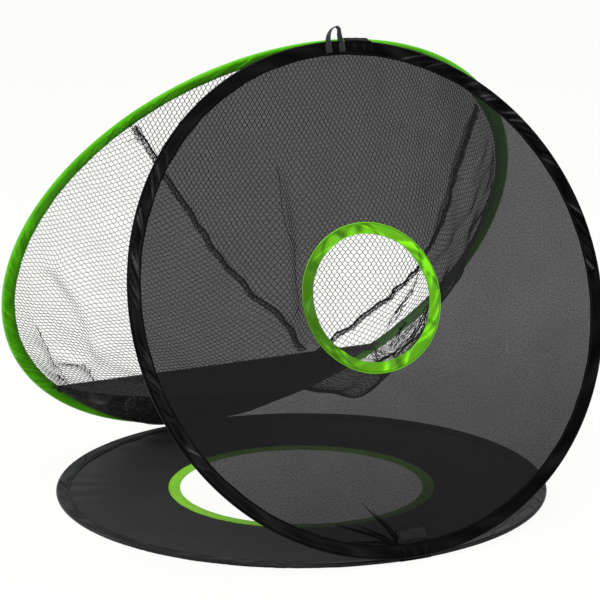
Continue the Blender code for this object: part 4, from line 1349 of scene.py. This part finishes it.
def backdrop_material():
    """White to the camera, with the object's soft shadow kept in a small share of it."""
    made = Nodes(bpy.data.materials.new("backdrop_white"))
    made.surface(Base_Color=(0.9, 0.9, 0.88, 1), Roughness=0.9)
    glow = made.add("ShaderNodeEmission", Color=STUDIO_WHITE, Strength=1.0)
    made.show_white(glow, 0.93, "Material Output")
    return made.owner


FLOOR_REACH = 6.0
points = np.array([[(x, y, 0.0) for y in (-FLOOR_REACH, FLOOR_REACH)] for x in (-FLOOR_REACH, FLOOR_REACH)])
floor = grid_mesh("floor", points, backdrop_material(), smooth=False)


def set_world():
    made = Nodes(bpy.data.worlds.new("studio"), "Background")
    made.surface(Color=(1, 1, 1, 1), Strength=0.45)
    made.show_white(made.add("ShaderNodeBackground", Color=STUDIO_WHITE), 1.0, "World Output")
    bpy.context.scene.world = made.owner


set_world()


def lamp(name, position, size, power, target=(0, 0, 0.3)):
    data = bpy.data.lights.new(name, "AREA")
    data.shape = "RECTANGLE"
    data.size, data.size_y = size
    data.energy = power
    made = add_object(name, data)
    made.location = position
    aim = Vector(target) - Vector(position)
    made.rotation_euler = aim.to_track_quat("-Z", "Y").to_euler()


lamp("key", (-1.6, -2.4, 2.4), (1.4, 1.4), 60)
lamp("fill", (2.2, -2.0, 1.4), (1.4, 1.8), 28)
lamp("top", (0.2, 0.4, 2.8), (2.0, 2.0), 40)
lamp("rim", (-2.4, 1.6, 1.2), (0.6, 1.6), 24)

# The camera, as a turn and a height round the tent, its distance and its aim.
CAMERA_AZIMUTH = -26.193
CAMERA_ELEVATION = 15.169
CAMERA_ROLL = -0.087
CAMERA_DISTANCE = 4.6697
AIM_RIGHT = 0.0039
AIM_UP = 0.2333
LENS = 216.05
SHIFT = (-0.00688, 0.01332)


def set_camera():
    a, e = math.radians(CAMERA_AZIMUTH), math.radians(CAMERA_ELEVATION)
    back = Vector((math.sin(a) * math.cos(e), -math.cos(a) * math.cos(e), math.sin(e)))
    right = Vector((math.cos(a), math.sin(a), 0))
    up = back.cross(right)
    aim = right * AIM_RIGHT + up * AIM_UP
    data = bpy.data.cameras.new("camera")
    data.lens, data.sensor_width = LENS, 36
    data.shift_x, data.shift_y = SHIFT
    made = add_object("camera", data)
    made.location = aim + back * CAMERA_DISTANCE
    turn = Matrix((right, up, back)).transposed().to_4x4()
    roll = Matrix.Rotation(math.radians(CAMERA_ROLL), 4, "Z")
    made.matrix_world = Matrix.Translation(made.location) @ turn @ roll
    bpy.context.scene.camera = made


set_camera()
bpy.context.scene.view_settings.view_transform = "Standard"
